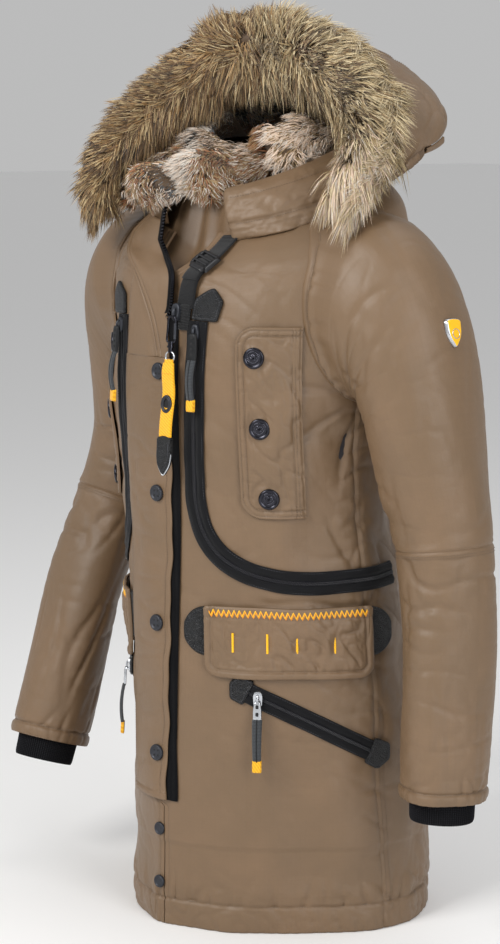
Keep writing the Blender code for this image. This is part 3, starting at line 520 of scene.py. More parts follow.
def webbing(name, base, dark, diagonal=False, pitch=0.0022, rough=0.6):
    m = Shader(name, base, rough)
    m.main.inputs["Sheen Weight"].default_value = 0.2
    a, b = m.split()
    if diagonal:
        ribs = m.sine(m.math("ADD", a, m.math("MULTIPLY", b, 0.7)), pitch)
    else:
        ribs = m.sine(a, pitch)
    cross = m.sine(b, 0.0011)
    m.colour(m.mix(m.math("MULTIPLY", ribs, m.math("MULTIPLY_ADD", cross, 0.4, 0.6)), dark, base))
    m.bump(ribs, 0.0004)
    m.bump(cross, 0.0001)
    return m.mat


def moulded(name, base, rough, metal=0.0, grain=0.0012, depth=0.00005, spec=0.5, edge=1.25):
    m = Shader(name, base, rough, metal)
    m.main.inputs["Specular IOR Level"].default_value = spec
    n = m.noise(grain, 3.0, 0.6)
    worn = m.noise(0.006, 4.0, 0.65)
    light = tuple(min(1.0, c * edge + 0.004) for c in base[:3]) + (1.0,)
    m.colour(m.mix(m.ramp(worn, 0.45, 0.75), base, light))
    m.rough(m.math("MULTIPLY_ADD", worn, 0.18, max(0.04, rough - 0.09)))
    m.bump(n, depth)
    return m.mat


def matte(mat, level):
    mat.node_tree.nodes["Principled BSDF"].inputs["Specular IOR Level"].default_value = level


MATS["knit"] = knit()
MATS["tape"] = tape("zip_tape_look", srgb(19, 20, 24), srgb(8, 8, 11))
# the main zip tape is black tape made darker still: painted shade of the gap between the front edges
MATS["tape_painted_shade"] = tape("main_tape_painted_shade_look", srgb(13, 13, 16), srgb(6, 6, 8))
MATS["coil"] = coil()
MATS["leather"] = leather()
MATS["yellow"] = webbing("yellow_webbing_look", srgb(252, 196, 0), srgb(226, 156, 0), True, 0.0034)
MATS["black_web"] = webbing("black_webbing_look", srgb(19, 20, 23), srgb(7, 7, 9), False, 0.0017, 0.66)
MATS["grey_web"] = webbing("grey_webbing_look", srgb(72, 76, 80), srgb(38, 41, 45), False, 0.0016, 0.6)
MATS["rubber"] = moulded("rubber_look", srgb(17, 18, 20), 0.45)
MATS["black_metal"] = moulded("black_metal_look", srgb(52, 52, 58), 0.20, 1.0, depth=0.00002)
MATS["matte_metal"] = moulded("matte_metal_look", srgb(52, 54, 60), 0.42, 0.6, depth=0.00003)
MATS["steel"] = moulded("steel_look", srgb(190, 193, 198), 0.28, 1.0, depth=0.00002)
MATS["plastic"] = moulded("plastic_look", srgb(20, 20, 23), 0.34)
MATS["enamel"] = moulded("enamel_look", srgb(252, 190, 0), 0.22, 0.0, depth=0.00001, spec=0.7, edge=1.05)
# near-black material for holes and openings: painted shade where an opening would be
MATS["dark"] = Shader("hole_painted_shade_look", srgb(12, 12, 14), 0.7).mat
MATS["thread"] = Shader("thread_look", srgb(98, 79, 60), 0.7, Sheen_Weight=0.3).mat
MATS["black_thread"] = Shader("black_thread_look", srgb(50, 51, 57), 0.7, Sheen_Weight=0.3).mat
MATS["yellow_thread"] = Shader("yellow_thread_look", srgb(255, 192, 0), 0.6, Sheen_Weight=0.2).mat
MATS["orange_thread"] = Shader("orange_thread_look", srgb(226, 140, 8), 0.6, Sheen_Weight=0.2).mat

for key, level in (("tape", 0.18), ("tape_painted_shade", 0.06), ("coil", 0.3), ("black_web", 0.15), ("knit", 0.1), ("rubber", 0.3), ("grey_web", 0.3)):
    matte(MATS[key], level)


# ------------------------------------------------------------------ mesh building
class Mesh:
    def __init__(self):
        self.verts, self.faces, self.uvs, self.mats = [], [], [], []
        self.count = 0
        self.names = []

    def slot(self, name):
        if name not in self.names:
            self.names.append(name)
        return self.names.index(name)

    def add(self, verts, faces, mat, uv=None):
        verts = np.asarray(verts, float).reshape(-1, 3)
        faces = np.asarray(faces, int)
        if uv is None:
            uv = verts[faces.ravel()][:, :2]
        self.verts.append(verts)
        self.faces.append(faces + self.count)
        self.uvs.append(np.asarray(uv, float).reshape(-1, 2))
        self.mats.append(np.full(len(faces), self.slot(mat)) if isinstance(mat, str) else mat)
        self.count += len(verts)

    def grid(self, p, u, v, mat, wrap=False, keep=None):
        """Sheet over a grid of points. u and v are metres, with one more column if the grid wraps."""
        m, n = p.shape[:2]
        i = np.arange(m - 1)[:, None]
        j = np.arange(n if wrap else n - 1)[None, :]
        a, b = i * n + j, i * n + (j + 1) % n
        quads = np.stack([a, b, b + n, a + n], -1)
        k = n + 1 if wrap else n
        u, v = np.broadcast_to(u, (m, k)), np.broadcast_to(v, (m, k))
        corner = lambda w: np.stack([w[:-1, :-1], w[:-1, 1:], w[1:, 1:], w[1:, :-1]], -1)
        uv = np.stack([corner(u), corner(v)], -1)
        if keep is not None:
            quads, uv = quads[keep], uv[keep]
        self.add(p, quads.reshape(-1, 4), mat, uv)

    def slab(self, top, low, u, v, mat, under=None):
        """Closed slab between two grids."""
        m, n = top.shape[:2]
        base = self.count
        self.grid(top, u, v, mat)
        self.grid(low[:, ::-1], np.broadcast_to(u, (m, n))[:, ::-1], np.broadcast_to(v, (m, n))[:, ::-1], under or mat)
        k = m * n
        up = lambda i, j: base + i * n + j
        dn = lambda i, j: base + k + i * n + (n - 1 - j)
        rim = []
        ii, jj = np.arange(m - 1), np.arange(n - 1)
        rim.append(np.stack([up(0, jj + 1), up(0, jj), dn(0, jj), dn(0, jj + 1)], -1))
        rim.append(np.stack([up(m - 1, jj), up(m - 1, jj + 1), dn(m - 1, jj + 1), dn(m - 1, jj)], -1))
        rim.append(np.stack([up(ii, 0), up(ii + 1, 0), dn(ii + 1, 0), dn(ii, 0)], -1))
        rim.append(np.stack([up(ii + 1, n - 1), up(ii, n - 1), dn(ii, n - 1), dn(ii + 1, n - 1)], -1))
        rim = np.concatenate(rim)
        self.faces.append(rim)
        self.uvs.append(np.zeros((rim.size, 2)))
        self.mats.append(np.full(len(rim), self.slot(mat)))

    def tube(self, path, radius, mat, sides=8, closed=False, caps=True, flat=1.0, ref=None):
        """Round or oval bar along a path."""
        path = np.asarray(path, float)
        d = np.gradient(path, axis=0)
        if closed:
            d = np.roll(path, -1, axis=0) - np.roll(path, 1, axis=0)
        d = unit(d)
        ref = np.array([0.13, 0.27, 0.95]) if ref is None else np.asarray(ref, float)
        e1 = unit(np.cross(d, ref))
        e2 = np.cross(d, e1)
        a = np.linspace(0, 2 * math.pi, sides, endpoint=False)
        r = np.broadcast_to(np.asarray(radius, float), (len(path),))[:, None, None]
        ring = path[:, None] + r * (np.cos(a)[None, :, None] * e1[:, None] + flat * np.sin(a)[None, :, None] * e2[:, None])
        if closed:
            ring = np.concatenate([ring, ring[:1]])
        length = np.concatenate([[0], np.cumsum(np.linalg.norm(np.diff(ring[:, 0], axis=0), axis=1))])
        u = np.linspace(0, 2 * math.pi * float(np.max(r)), sides + 1)[None, :]
        start = self.count
        self.grid(ring, length[:, None], u, mat, wrap=True)
        if caps and not closed:
            last = start + (len(ring) - 1) * sides
            for first, flip in ((start, True), (last, False)):
                tip = self.count
                end = ring[0].mean(0) if flip else ring[-1].mean(0)
                q = first + np.arange(sides)
                nxt = first + (np.arange(sides) + 1) % sides
                self.verts.append(end[None, :])
                self.count += 1
                tri = np.stack([nxt, q, np.full(sides, tip)], -1) if flip else np.stack([q, nxt, np.full(sides, tip)], -1)
                self.faces.append(tri)
                self.uvs.append(np.zeros((tri.size, 2)))
                self.mats.append(np.full(len(tri), self.slot(mat)))

    def turned(self, profile, at, mat, sides=40, ripple=None):
        """Profile of (radius, height) about the frame's outward direction. A first and last radius of 0 close it."""
        o, ex, ey, n = at
        prof = np.asarray(profile, float)
        a = np.linspace(0, 2 * math.pi, sides, endpoint=False)
        r = prof[:, :1] * np.ones(sides)
        h = prof[:, 1:2] * np.ones(sides)
        if ripple is not None:
            h = h + ripple(r, a[None, :])
        p = o + (r * np.cos(a))[..., None] * ex + (r * np.sin(a))[..., None] * ey + h[..., None] * n
        length = np.concatenate([[0], np.cumsum(np.linalg.norm(np.diff(prof, axis=0), axis=1))])
        self.grid(p, length[:, None], np.linspace(0, 0.05, sides + 1)[None, :], mat, wrap=True)

    def pillow(self, outline, at, low, high, mat, roll=0.0012, rings=9, dome=0.0, under=True):
        """Flat piece with rolled edges over a convex outline, (x, y) in the frame or (s, v) through `at`."""
        pts = np.asarray(outline, float)
        c = pts.mean(0)
        reach = np.linalg.norm(pts - c, axis=1).min()
        rho = 1 - (1 - np.linspace(0, 1, rings)) ** 1.6
        rho = rho[:, None, None]
        g = c + (pts - c)[None] * rho
        d = (1 - rho[..., 0]) * reach
        edge = np.sqrt(np.clip(1 - (1 - np.clip(d / roll, 0, 1)) ** 2, 0, 1))
        t = low + (high - low) * edge + dome * (1 - rho[..., 0] ** 2)
        t = np.broadcast_to(t, g.shape[:2])
        top = at(g[..., 0], g[..., 1], t)
        u = np.concatenate([g[..., 0], g[:, :1, 0]], 1)
        v = np.concatenate([g[..., 1], g[:, :1, 1]], 1)
        self.grid(top, u, v, mat, wrap=True)
        if under:
            g2 = g[::-1]
            self.grid(at(g2[..., 0], g2[..., 1], low - 0.0002 + 0 * g2[..., 0]), u[::-1], v[::-1], mat, wrap=True)

    def stitches(self, path, normal, mat="thread", pitch=0.0030, long=0.0021, wide=0.0007, high=0.0005, closed=False):
        """Short raised threads along a path, each from one needle hole to the next."""
        path = np.asarray(path, float)
        normal = np.asarray(normal, float)
        if closed:
            path, normal = np.concatenate([path, path[:1]]), np.concatenate([normal, normal[:1]])
        d = np.concatenate([[0], np.cumsum(np.linalg.norm(np.diff(path, axis=0), axis=1))])
        count = int(d[-1] / pitch)
        if count < 1:
            return
        mid = (np.arange(count) + 0.5) * pitch + (d[-1] - count * pitch) / 2
        take = lambda x, at_: np.stack([np.interp(at_, d, x[:, i]) for i in range(3)], -1)
        a, b, m = take(path, mid - long / 2), take(path, mid + long / 2), take(path, mid)
        n = unit(take(normal, mid))
        side = unit(np.cross(b - a, n)) * wide / 2
        q1, q2 = a * 0.7 + b * 0.3, a * 0.3 + b * 0.7
        lift = n * high
        v = np.stack([a, q1 + side, q2 + side, b, q2 - side, q1 - side, q1 + lift, q2 + lift], 1)
        k = np.arange(count)[:, None] * 8
        quads = np.concatenate([k + np.array([[1, 2, 7, 6]]), k + np.array([[4, 5, 6, 7]])])
        tris = np.concatenate([k + np.array([[0, 1, 6]]), k + np.array([[5, 0, 6]]), k + np.array([[2, 3, 7]]), k + np.array([[3, 4, 7]])])
        base = self.count
        self.add(v.reshape(-1, 3), quads, mat)
        self.faces.append(tris + base)
        self.uvs.append(np.zeros((tris.size, 2)))
        self.mats.append(np.full(len(tris), self.slot(mat)))

    def object(self, name, slot_name=None, recalc=True, flat=None):
        mesh = bpy.data.meshes.new(name)
        verts = np.concatenate(self.verts)
        faces = []
        for f in self.faces:
            faces += f.tolist()
        mesh.from_pydata(verts.tolist(), [], faces)
        uv = mesh.uv_layers.new(name="UVMap")
        uv.data.foreach_set("uv", np.concatenate(self.uvs).astype(np.float32).ravel())
        for key in self.names:
            mesh.materials.append(MATS[key])
        mesh.polygons.foreach_set("material_index", np.concatenate(self.mats).astype(np.int32))
        if recalc:
            bm = bmesh.new()
            bm.from_mesh(mesh)
            bmesh.ops.recalc_face_normals(bm, faces=bm.faces[:])
            bm.to_mesh(mesh)
            bm.free()
        mesh.shade_smooth()
        if flat:
            mesh.set_sharp_from_angle(angle=math.radians(flat))
        obj = bpy.data.objects.new(name, mesh)
        bpy.context.scene.collection.objects.link(obj)
        return obj


def frame_at(at):
    """Point function in a flat frame."""
    o, ex, ey, n = at
    return lambda x, y, t: o + np.asarray(x)[..., None] * ex + np.asarray(y)[..., None] * ey + np.asarray(t)[..., None] * n


def side_layer(side):
    return lambda s, v, t: layer(side * s, v, t)


def corners(points, radius, per=6):
    """Polygon with rounded corners. radius is one number or one for each corner."""
    p = np.asarray(points, float)
    k = len(p)
    radius = np.broadcast_to(np.asarray(radius, float), (k,))
    out = []
    for i in range(k):
        a, b, c = p[i - 1], p[i], p[(i + 1) % k]
        r = min(radius[i], 0.49 * np.linalg.norm(a - b), 0.49 * np.linalg.norm(c - b))
        s, e = b + (a - b) / np.linalg.norm(a - b) * r, b + (c - b) / np.linalg.norm(c - b) * r
        t = np.linspace(0, 1, per)[:, None]
        out.append((1 - t) ** 2 * s + 2 * t * (1 - t) * b + t * t * e)
    return np.concatenate(out)


def inset(outline, d):
    """The same outline drawn in by d."""
    p = np.asarray(outline, float)
    c = p.mean(0)
    r = np.linalg.norm(p - c, axis=1, keepdims=True)
    nxt, prv = np.roll(p, -1, axis=0), np.roll(p, 1, axis=0)
    tan = unit(nxt - prv)
    nor = np.stack([tan[:, 1], -tan[:, 0]], -1)
    nor = nor * np.sign(((p - c) * nor).sum(-1, keepdims=True))
    return p - nor * d


def box_of(at, x, y, low, high, mat, mesh, r=0.0008):
    """Small moulded block with softened edges."""
    out = corners([(-x, -y), (x, -y), (x, y), (-x, y)], r * 2, 4)
    mesh.pillow(evenly(out, 0.0008, True), frame_at(at), low, high, mat, roll=r, rings=5)




def done(obj, body, *nodes):
    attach(obj, body)
    if nodes:
        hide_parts(*nodes)
    return obj


# ------------------------------------------------------------------ body panels
def body_rows():
    """Levels from the turned-in hem up to the neck, closer together near the hem stitching."""
    fold = [(0.026, -0.0052), (0.012, -0.0056), (0.004, -0.0056), (0.0012, -0.0050), (0.0002, -0.0036), (0.0, -0.0022), (0.0004, -0.0008)]
    levels = np.concatenate([np.arange(0.0016, 0.058, 0.0016), np.arange(0.058, SEAM_V, 0.0030), [SEAM_V, SEAM_V + 0.003]])
    v = np.concatenate([[f[0] for f in fold], levels])
    t = np.concatenate([[f[1] for f in fold], 0 * levels])
    return v, t


ROW_V, ROW_T = body_rows()


def shell_height(phi, s, v, t):
    """Outer face of the shell fabric: broad swell, creases and the pull of each line of stitching."""
    side = np.abs(along(v, SIDE_V, SIDE_S) - np.abs(s)) + 9.0 * (v > 0.66)
    groove = 0.0016 * np.exp(-(((v - HEM_SEAM) / 0.0019) ** 2)) + 0.0017 * np.exp(-((side / 0.0026) ** 2))
    edge = np.where(s > 0, s - left_edge(v), right_edge(v) - s)
    groove += 0.0008 * np.exp(-(((edge - 0.0062) / 0.0014) ** 2)) * (np.abs(s) < 0.1)
    groove += 0.0008 * np.exp(-(((edge - 0.0150) / 0.0014) ** 2)) * (np.abs(s) < 0.1) * (v > 0.60)
    puff = 0.0012 * np.sin(np.clip(v / HEM_SEAM, 0, 1) * math.pi) ** 0.7
    puff = puff + 0.0016 * np.exp(-(((v - HEM_SEAM - 0.014) / 0.012) ** 2))
    return -EASE + swell(phi, s, v) - creases(phi, s, v) - groove + puff * (v < 0.1) - 0.0016 * (v < 0.1) + t


def panel(name, phi, turn):
    """phi: grid of angles, turn: extra depth of each column where an edge is folded under."""
    v = np.broadcast_to(ROW_V[:, None], phi.shape)
    s = arc(phi, v)
    p = skin(phi, v, shell_height(phi, s, v, ROW_T[:, None] + turn))
    p[..., 2] = np.maximum(p[..., 2], 0.0004)
    e = np.sqrt(((p[..., 1] - ARM_C[0]) / ARM_R[0]) ** 2 + ((p[..., 2] - ARM_C[1]) / ARM_R[1]) ** 2)
    hole = (e < 0.94) & (np.abs(p[..., 0]) > 0.1)
    keep = ~(hole[:-1, :-1] | hole[1:, 1:] | hole[:-1, 1:] | hole[1:, :-1])
    mesh = Mesh()
    length = ROW_V.copy()
    mesh.grid(p, np.where(np.abs(phi) > 2.2, phi * 0.18, s), length[:, None] + ROW_T[:, None], "shell", keep=keep)
    return mesh


def front_phi(edge, sign, columns):
    """Angles from the folded front edge to the side seam."""
    s0 = edge(ROW_V)
    fold = np.array([0.016, 0.006, 0.0012, 0.0002, 0.0, 0.0005])
    near = np.arange(0.0015, 0.0225, 0.0015)
    inside = angle(s0[:, None] + sign * np.concatenate([fold, near])[None, :], ROW_V[:, None])
    w = np.linspace(0, 1, columns)[1:]
    end = sign * side_angle(ROW_V)
    rest = inside[:, -1:] * (1 - w) + end[:, None] * w
    turn = np.concatenate([[-0.0040, -0.0042, -0.0036, -0.0022, -0.0012, -0.0003], 0 * near, 0 * w])
    return np.concatenate([inside, rest], 1), turn


def seam_path(s_of_v, v, lift, ignore_fold=True):
    s = s_of_v(v)
    phi = angle(s, v)
    t = shell_height(phi, s, v, 0.0) + lift
    return skin(phi, v, t), outward(phi, v)


TOP_V = 0.83
for name, edge, sign in (("left", left_edge, 1), ("right", right_edge, -1)):
    phi, turn = front_phi(edge, sign, 84)
    mesh = panel("front_" + name, phi, turn)
    v = np.arange(0.034, TOP_V, 0.003)
    for off in (0.0062, 0.0150):
        lo = 0.60 if off > 0.01 else 0.034
        vv = v[v > lo]
        mesh.stitches(*seam_path(lambda q: edge(q) + sign * off, vv, 0.0001))
    s = np.linspace(edge(np.array(HEM_SEAM)) + sign * 0.004, sign * 0.276, 120)
    phi_h = angle(s, HEM_SEAM + 0 * s)
    mesh.stitches(skin(phi_h, HEM_SEAM + 0 * s, shell_height(phi_h, s, HEM_SEAM + 0 * s, 0.0) + 0.0001), outward(phi_h, HEM_SEAM + 0 * s))
    done(mesh.object("front_panel_cloth_" + name, "shell_fabric"), "body", "front_panel_" + name)

w = np.linspace(0, 1, 200)
start = side_angle(ROW_V)[:, None]
phi = start * (1 - w) + (2 * math.pi - start) * w
mesh = panel("back", phi, 0 * w)
for sign in (1, -1):
    for off in (0.0045, 0.0105):
        v = np.arange(0.034, 0.625, 0.003)
        mesh.stitches(*seam_path(lambda q: sign * (along(q, SIDE_V, SIDE_S) + off), v, 0.0002))
phi_h = np.linspace(side_angle(np.array(HEM_SEAM)), 2 * math.pi - side_angle(np.array(HEM_SEAM)), 240)
vh = HEM_SEAM + 0 * phi_h
mesh.stitches(skin(phi_h, vh, shell_height(phi_h, arc(phi_h, vh), vh, 0.0) + 0.0001), outward(phi_h, vh))
# yoke seam across the back
phi_y = np.linspace(1.95, 2 * math.pi - 1.95, 160)
vy = 0.688 + 0.010 * np.cos((phi_y - math.pi) * 1.3)
mesh.stitches(skin(phi_y, vy, shell_height(phi_y, arc(phi_y, vy), vy, 0.0) + 0.0002), outward(phi_y, vy))
done(mesh.object("back_panel_cloth", "shell_fabric"), "body", "back_panel")

# quilted lining, one wall inside the panels
phi = np.linspace(math.radians(9), 2 * math.pi - math.radians(9), 150)[None, :]
rows = np.concatenate([np.arange(0.028, 0.82, 0.005)])[:, None]
phi, rows = np.broadcast_arrays(phi, rows)
quilt = 0.0016 * np.abs(np.sin(math.pi * rows / 0.052)) ** 0.5
p = skin(phi, rows, -0.0092 + 0 * phi - quilt + 0.0)
e = np.sqrt(((p[..., 1] - ARM_C[0]) / ARM_R[0]) ** 2 + ((p[..., 2] - ARM_C[1]) / ARM_R[1]) ** 2)
hole = (e < 1.0) & (np.abs(p[..., 0]) > 0.1)
keep = ~(hole[:-1, :-1] | hole[1:, 1:] | hole[:-1, 1:] | hole[1:, :-1])
mesh = Mesh()
mesh.grid(p, phi * 0.18, rows, "lining", keep=keep)
done(mesh.object("body_lining_quilted", "lining_fabric"), "body", "body_lining")

# ------------------------------------------------------------------ collar
COLLAR_FRONT, COLLAR_H = math.radians(25), 0.023


def collar_point(phi, h, t):
    low = torso(phi, SEAM_V + 0 * phi)
    out = unit(np.stack([np.sin(phi) * 0.116, -np.cos(phi) * 0.092, 0 * phi], -1))
    top = torso(phi, NECK + 0 * phi) + out * 0.014
    top[..., 2] += COLLAR_H
    p = low * (1 - h[..., None]) + top * h[..., None]
    return p + out * (t + 0.006 * np.sin(math.pi * np.clip(h, 0, 1)))[..., None] + np.array([0.0, 0.0, 0.0012])


collar_noise, collar_fine = Noise(31, 0.05), Noise(32, 0.022)
prof = np.array([(0.10, 0.0012), (-0.08, 0.0030), (-0.17, 0.0052), (-0.20, 0.0078), (-0.16, 0.0100), (-0.05, 0.0118), (0.08, 0.0122), (0.16, 0.0100), (0.20, 0.0094),
                 (0.26, 0.0112), (0.40, 0.0118), (0.56, 0.0112), (0.70, 0.0100), (0.77, 0.0088), (0.80, 0.0086), (0.84, 0.0090), (0.93, 0.0070), (0.99, 0.0042),
                 (1.03, 0.0010), (1.04, -0.0022), (1.01, -0.0052), (0.94, -0.0070), (0.80, -0.0080), (0.55, -0.0086), (0.30, -0.0084), (0.10, -0.0060)])
prof = evenly(np.stack([prof[:, 0] * 0.05, prof[:, 1]], -1), 0.0017, True)
prof[:, 0] /= 0.05
phi = np.linspace(COLLAR_FRONT - 0.02, 2 * math.pi - COLLAR_FRONT + 0.02, 260)
gp, gh = np.meshgrid(phi, prof[:, 0], indexing="ij")
gt = np.broadcast_to(prof[:, 1], gp.shape).copy()
from_end = np.minimum(gp - phi[0], phi[-1] - gp) * 0.115
round_end = np.sqrt(np.clip(1 - (1 - np.clip(from_end / 0.006, 0, 1)) ** 2, 0.0004, 1))
mid_h, mid_t = 0.45, 0.0012
gt = mid_t + (gt - mid_t) * round_end
gh2 = mid_h + (gh - mid_h) * (0.72 + 0.28 * round_end)
q = collar_point(gp, gh2, gt)
outer = (gt > 0.003)
ruffle = 0.0016 * collar_noise(q * [1, 1, 2.2]) - 0.0016 * valley(collar_fine(q * [1.2, 1.2, 0.6]), 0.3) * outer
q = collar_point(gp, gh2, gt + ruffle * round_end)
mesh = Mesh()
lengths = np.concatenate([np.cumsum(np.full(len(prof), 0.0017)), [0.0017 * (len(prof) + 1)]])
mesh.grid(q, (gp[:, :1] * 0.115), lengths[None, :], "shell", wrap=True)
for h_at, t_at in ((0.80, 0.0090), (0.18, 0.0100)):
    ph = np.linspace(COLLAR_FRONT + 0.05, 2 * math.pi - COLLAR_FRONT - 0.05, 220)
    a_, b_ = collar_point(ph, h_at + 0 * ph, t_at + 0 * ph), collar_point(ph, h_at + 0 * ph, t_at + 0.002 + 0 * ph)
    extra = 0.0016 * collar_noise(a_ * [1, 1, 2.2])
    mesh.stitches(collar_point(ph, h_at + 0 * ph, t_at + 0.0003 + extra), unit(b_ - a_))
done(mesh.object("collar_roll", "shell_fabric"), "body", "collar")

# inner facing seen through the open front: soft folded fabric behind the teeth
facing_noise = Noise(35, 0.045)
gv, gs = np.meshgrid(np.arange(0.675, 0.859, 0.0022), np.linspace(-0.128, 0.056, 92), indexing="ij")
ph = angle(gs, gv)
depth = 0.0068 + 0.016 * smooth(gv, 0.72, 0.84) * np.cos(np.clip(gs / 0.056, -1, 1) * HALF)
fold_ = 0.0045 * np.sin(gs * 150 + 30 * gv + 1.2) * smooth(gv, 0.72, 0.79) * np.cos(np.clip(gs / 0.056, -1, 1) * HALF)
q = skin(ph, gv, -depth + fold_ + 0.002 * facing_noise(torso(ph, gv)) - 0.0016)
q[..., 2] += 0.040 * smooth(gv, 0.838, 0.860)
mesh = Mesh()
mesh.grid(q, gs, gv, "shell")
done(mesh.object("front_facing", "shell_fabric"), "body")

# ------------------------------------------------------------------ storm placket and its folded top
PLACKET_SEWN, PLACKET_TOP = -0.048, 0.655
FREE_V = np.array([0.148, 0.266, 0.381, 0.496, 0.609, 0.670])
FREE_S = np.array([0.019, 0.023, 0.027, 0.031, 0.033, 0.032])
STUDS = ((0.017, 0.640), (0.010, 0.502), (0.007, 0.353), (0.006, 0.202))
HEM_STUDS = ((0.000, 0.112), (0.001, 0.050))
soft_a, soft_b = Noise(41, 0.07), Noise(42, 0.028)


def flap_height(d, edge_r, thick, grooves, low):
    """Height over a flap from the distance d to its edge: rolled edge, sewn grooves, padded field."""
    roll = np.sqrt(np.clip(1 - (1 - np.clip(d / edge_r, 0, 1)) ** 2, 0, 1))
    t = low + thick * roll
    for at, deep, wide in grooves:
        t = t - deep * np.exp(-(((d - at) / wide) ** 2))
    return t


v = np.concatenate([np.arange(ZIP_BOTTOM, 0.156, 0.001), np.arange(0.156, PLACKET_TOP, 0.003), [PLACKET_TOP]])[:, None]
w = np.concatenate([np.linspace(0, 0.10, 7), np.linspace(0.12, 0.86, 24), np.linspace(0.88, 1, 12)])[None, :]
free = along(v, FREE_V, FREE_S) + 0.0010 * np.sin(v * 61) + 0.0007 * np.sin(v * 133 + 1)
gs = PLACKET_SEWN * (1 - w) + free * w
gv = v + 0 * w
d_free, d_low, d_sewn = free - gs, gv - ZIP_BOTTOM, gs - PLACKET_SEWN
d = np.minimum(d_free, d_low)
p0 = on(gs, gv, 0.0)
t = flap_height(d, 0.0014, 0.0020, ((0.0075, 0.0010, 0.0013),), 0.0036)
t += 0.0010 * np.clip(soft_a(p0 * [1, 1, 0.6]), -1, 1) - 0.0012 * valley(soft_b(p0 * [0.35, 0.35, 1.0]), 0.3) * smooth(d, 0.002, 0.012) * (0.4 + 0.6 * smooth(d_sewn, 0, 0.02))
t -= 0.0010 * np.exp(-((d_sewn / 0.004) ** 2))
for s0, v0 in STUDS:
    r = np.hypot(gs - s0, gv - v0)
    t -= 0.0012 * np.exp(-(((r - 0.0115) / 0.004) ** 2))
t = np.maximum(t, 0.0043)
mesh = Mesh()
low = layer(gs, gv, 0.0032 + 0 * t)
mesh.slab(layer(gs, gv, t), low, gs, gv, "shell")
vs = np.arange(ZIP_BOTTOM + 0.0075, PLACKET_TOP, 0.003)
fs = along(vs, FREE_V, FREE_S) + 0.0010 * np.sin(vs * 61) + 0.0007 * np.sin(vs * 133 + 1) - 0.0075
mesh.stitches(layer(fs, vs, 0.0049), layer_normal(fs, vs))
ss = np.linspace(PLACKET_SEWN + 0.006, 0.010, 24)
mesh.stitches(layer(ss, 0 * ss + ZIP_BOTTOM + 0.0075, 0.0049), layer_normal(ss, 0 * ss + ZIP_BOTTOM + 0.0075))
ss = PLACKET_SEWN + 0.0035 + 0 * vs
mesh.stitches(layer(ss, vs, 0.0052), layer_normal(ss, vs))
obj = mesh.object("storm_placket_cloth", "shell_fabric")
a_ = layer(np.array(PLACKET_SEWN), np.array(0.4), np.array(0.003))
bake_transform(obj)
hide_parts("storm_placket")

LAPEL_V = np.array([0.656, 0.70, 0.73, 0.76, 0.79, 0.82])
LAPEL_FREE = np.array([0.010, -0.004, -0.022, -0.046, -0.080, -0.112])
LAPEL_FOLD = np.array([0.031, 0.0275, 0.0270, 0.0190, -0.002, -0.031])
v = np.arange(PLACKET_TOP, 0.8400, 0.0022)[:, None]
w = np.linspace(0, 1, 46)[None, :]
fv, ff = along(v, LAPEL_V, LAPEL_FREE), along(v, LAPEL_V, LAPEL_FOLD)
gs, gv = fv * (1 - w) + ff * w, v + 0 * w
d = (gs - fv)
lift = 0.0026 + (1 - w) * 0.008 * smooth(v, 0.66, 0.76) + 0.0010 * np.sin(w * 9 + v * 40) * (1 - w) * smooth(v, 0.68, 0.74) + 0.0230 * smooth(v, 0.800, 0.855) * w
thick = 0.0022
p0 = on(gs, gv, 0.0)
t = lift + thick * np.sqrt(np.clip(1 - (1 - np.clip(np.minimum(d, (ff - gs) + 0.0006) / 0.0014, 0, 1)) ** 2, 0, 1))
for at in (0.0040, 0.0105):
    t = t - 0.0009 * np.exp(-(((d - at) / 0.0011) ** 2))
t = t + 0.0012 * soft_a(p0) * smooth(d, 0.01, 0.02)
mesh = Mesh()
mesh.slab(layer(gs, gv, t), layer(gs, gv, lift - 0.0002), gs, gv, "shell")
vs = np.arange(PLACKET_TOP + 0.006, 0.82, 0.003)
for at in (0.0040, 0.0105):
    fs = along(vs, LAPEL_V, LAPEL_FREE)
    nrm = np.gradient(np.stack([fs, vs], -1), axis=0)
    side_ = unit(np.stack([nrm[:, 1], -nrm[:, 0]], -1))
    ps, pv = fs + side_[:, 0] * at, vs + side_[:, 1] * at
    ll = 0.0026 + 0.008 * smooth(vs, 0.66, 0.76) * (1 - at / 0.05)
    mesh.stitches(layer(ps, pv, ll + 0.0022), layer_normal(ps, pv))
# the placket goes on up behind the lapel, sewn down along the same line
v = np.arange(PLACKET_TOP - 0.0006, 0.775, 0.0022)[:, None]
w = np.linspace(0, 1, 34)[None, :]
right = np.maximum(along(v, LAPEL_V, LAPEL_FREE) + 0.0050, PLACKET_SEWN + 0.002)
gs, gv = PLACKET_SEWN * (1 - w) + right * w, v + 0 * w
d_sewn, d_right = gs - PLACKET_SEWN, right - gs
t = 0.0036 + 0.0020 * np.sqrt(np.clip(1 - (1 - np.clip(d_sewn / 0.0014, 0, 1)) ** 2, 0, 1)) - 0.0010 * np.exp(-((d_sewn / 0.004) ** 2))
p0 = on(gs, gv, 0.0)
t = t + 0.0010 * np.clip(soft_a(p0 * [1, 1, 0.6]), -1, 1)
t = t * smooth(d_right, -0.004, 0.016) + 0.0022 * (1 - smooth(d_right, -0.004, 0.016))
t = t * (1 - smooth(v, 0.745, 0.772)) + 0.0008 * smooth(v, 0.745, 0.772)
mesh.slab(layer(gs, gv, t), layer(gs, gv, t - 0.0012), gs, gv, "shell")
vs = np.arange(PLACKET_TOP + 0.002, 0.752, 0.003)
mesh.stitches(layer(PLACKET_SEWN + 0.0035 + 0 * vs, vs, 0.0052 - 0.0030 * smooth(vs, 0.735, 0.755)), layer_normal(PLACKET_SEWN + 0.0035 + 0 * vs, vs))
obj = mesh.object("placket_lapel_cloth", "shell_fabric")
a_, b_ = layer(np.array(0.0), np.array(0.715), np.array(0.004)), layer(np.array(0.0), np.array(0.658), np.array(0.004))
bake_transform(obj)
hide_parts("placket_lapel")


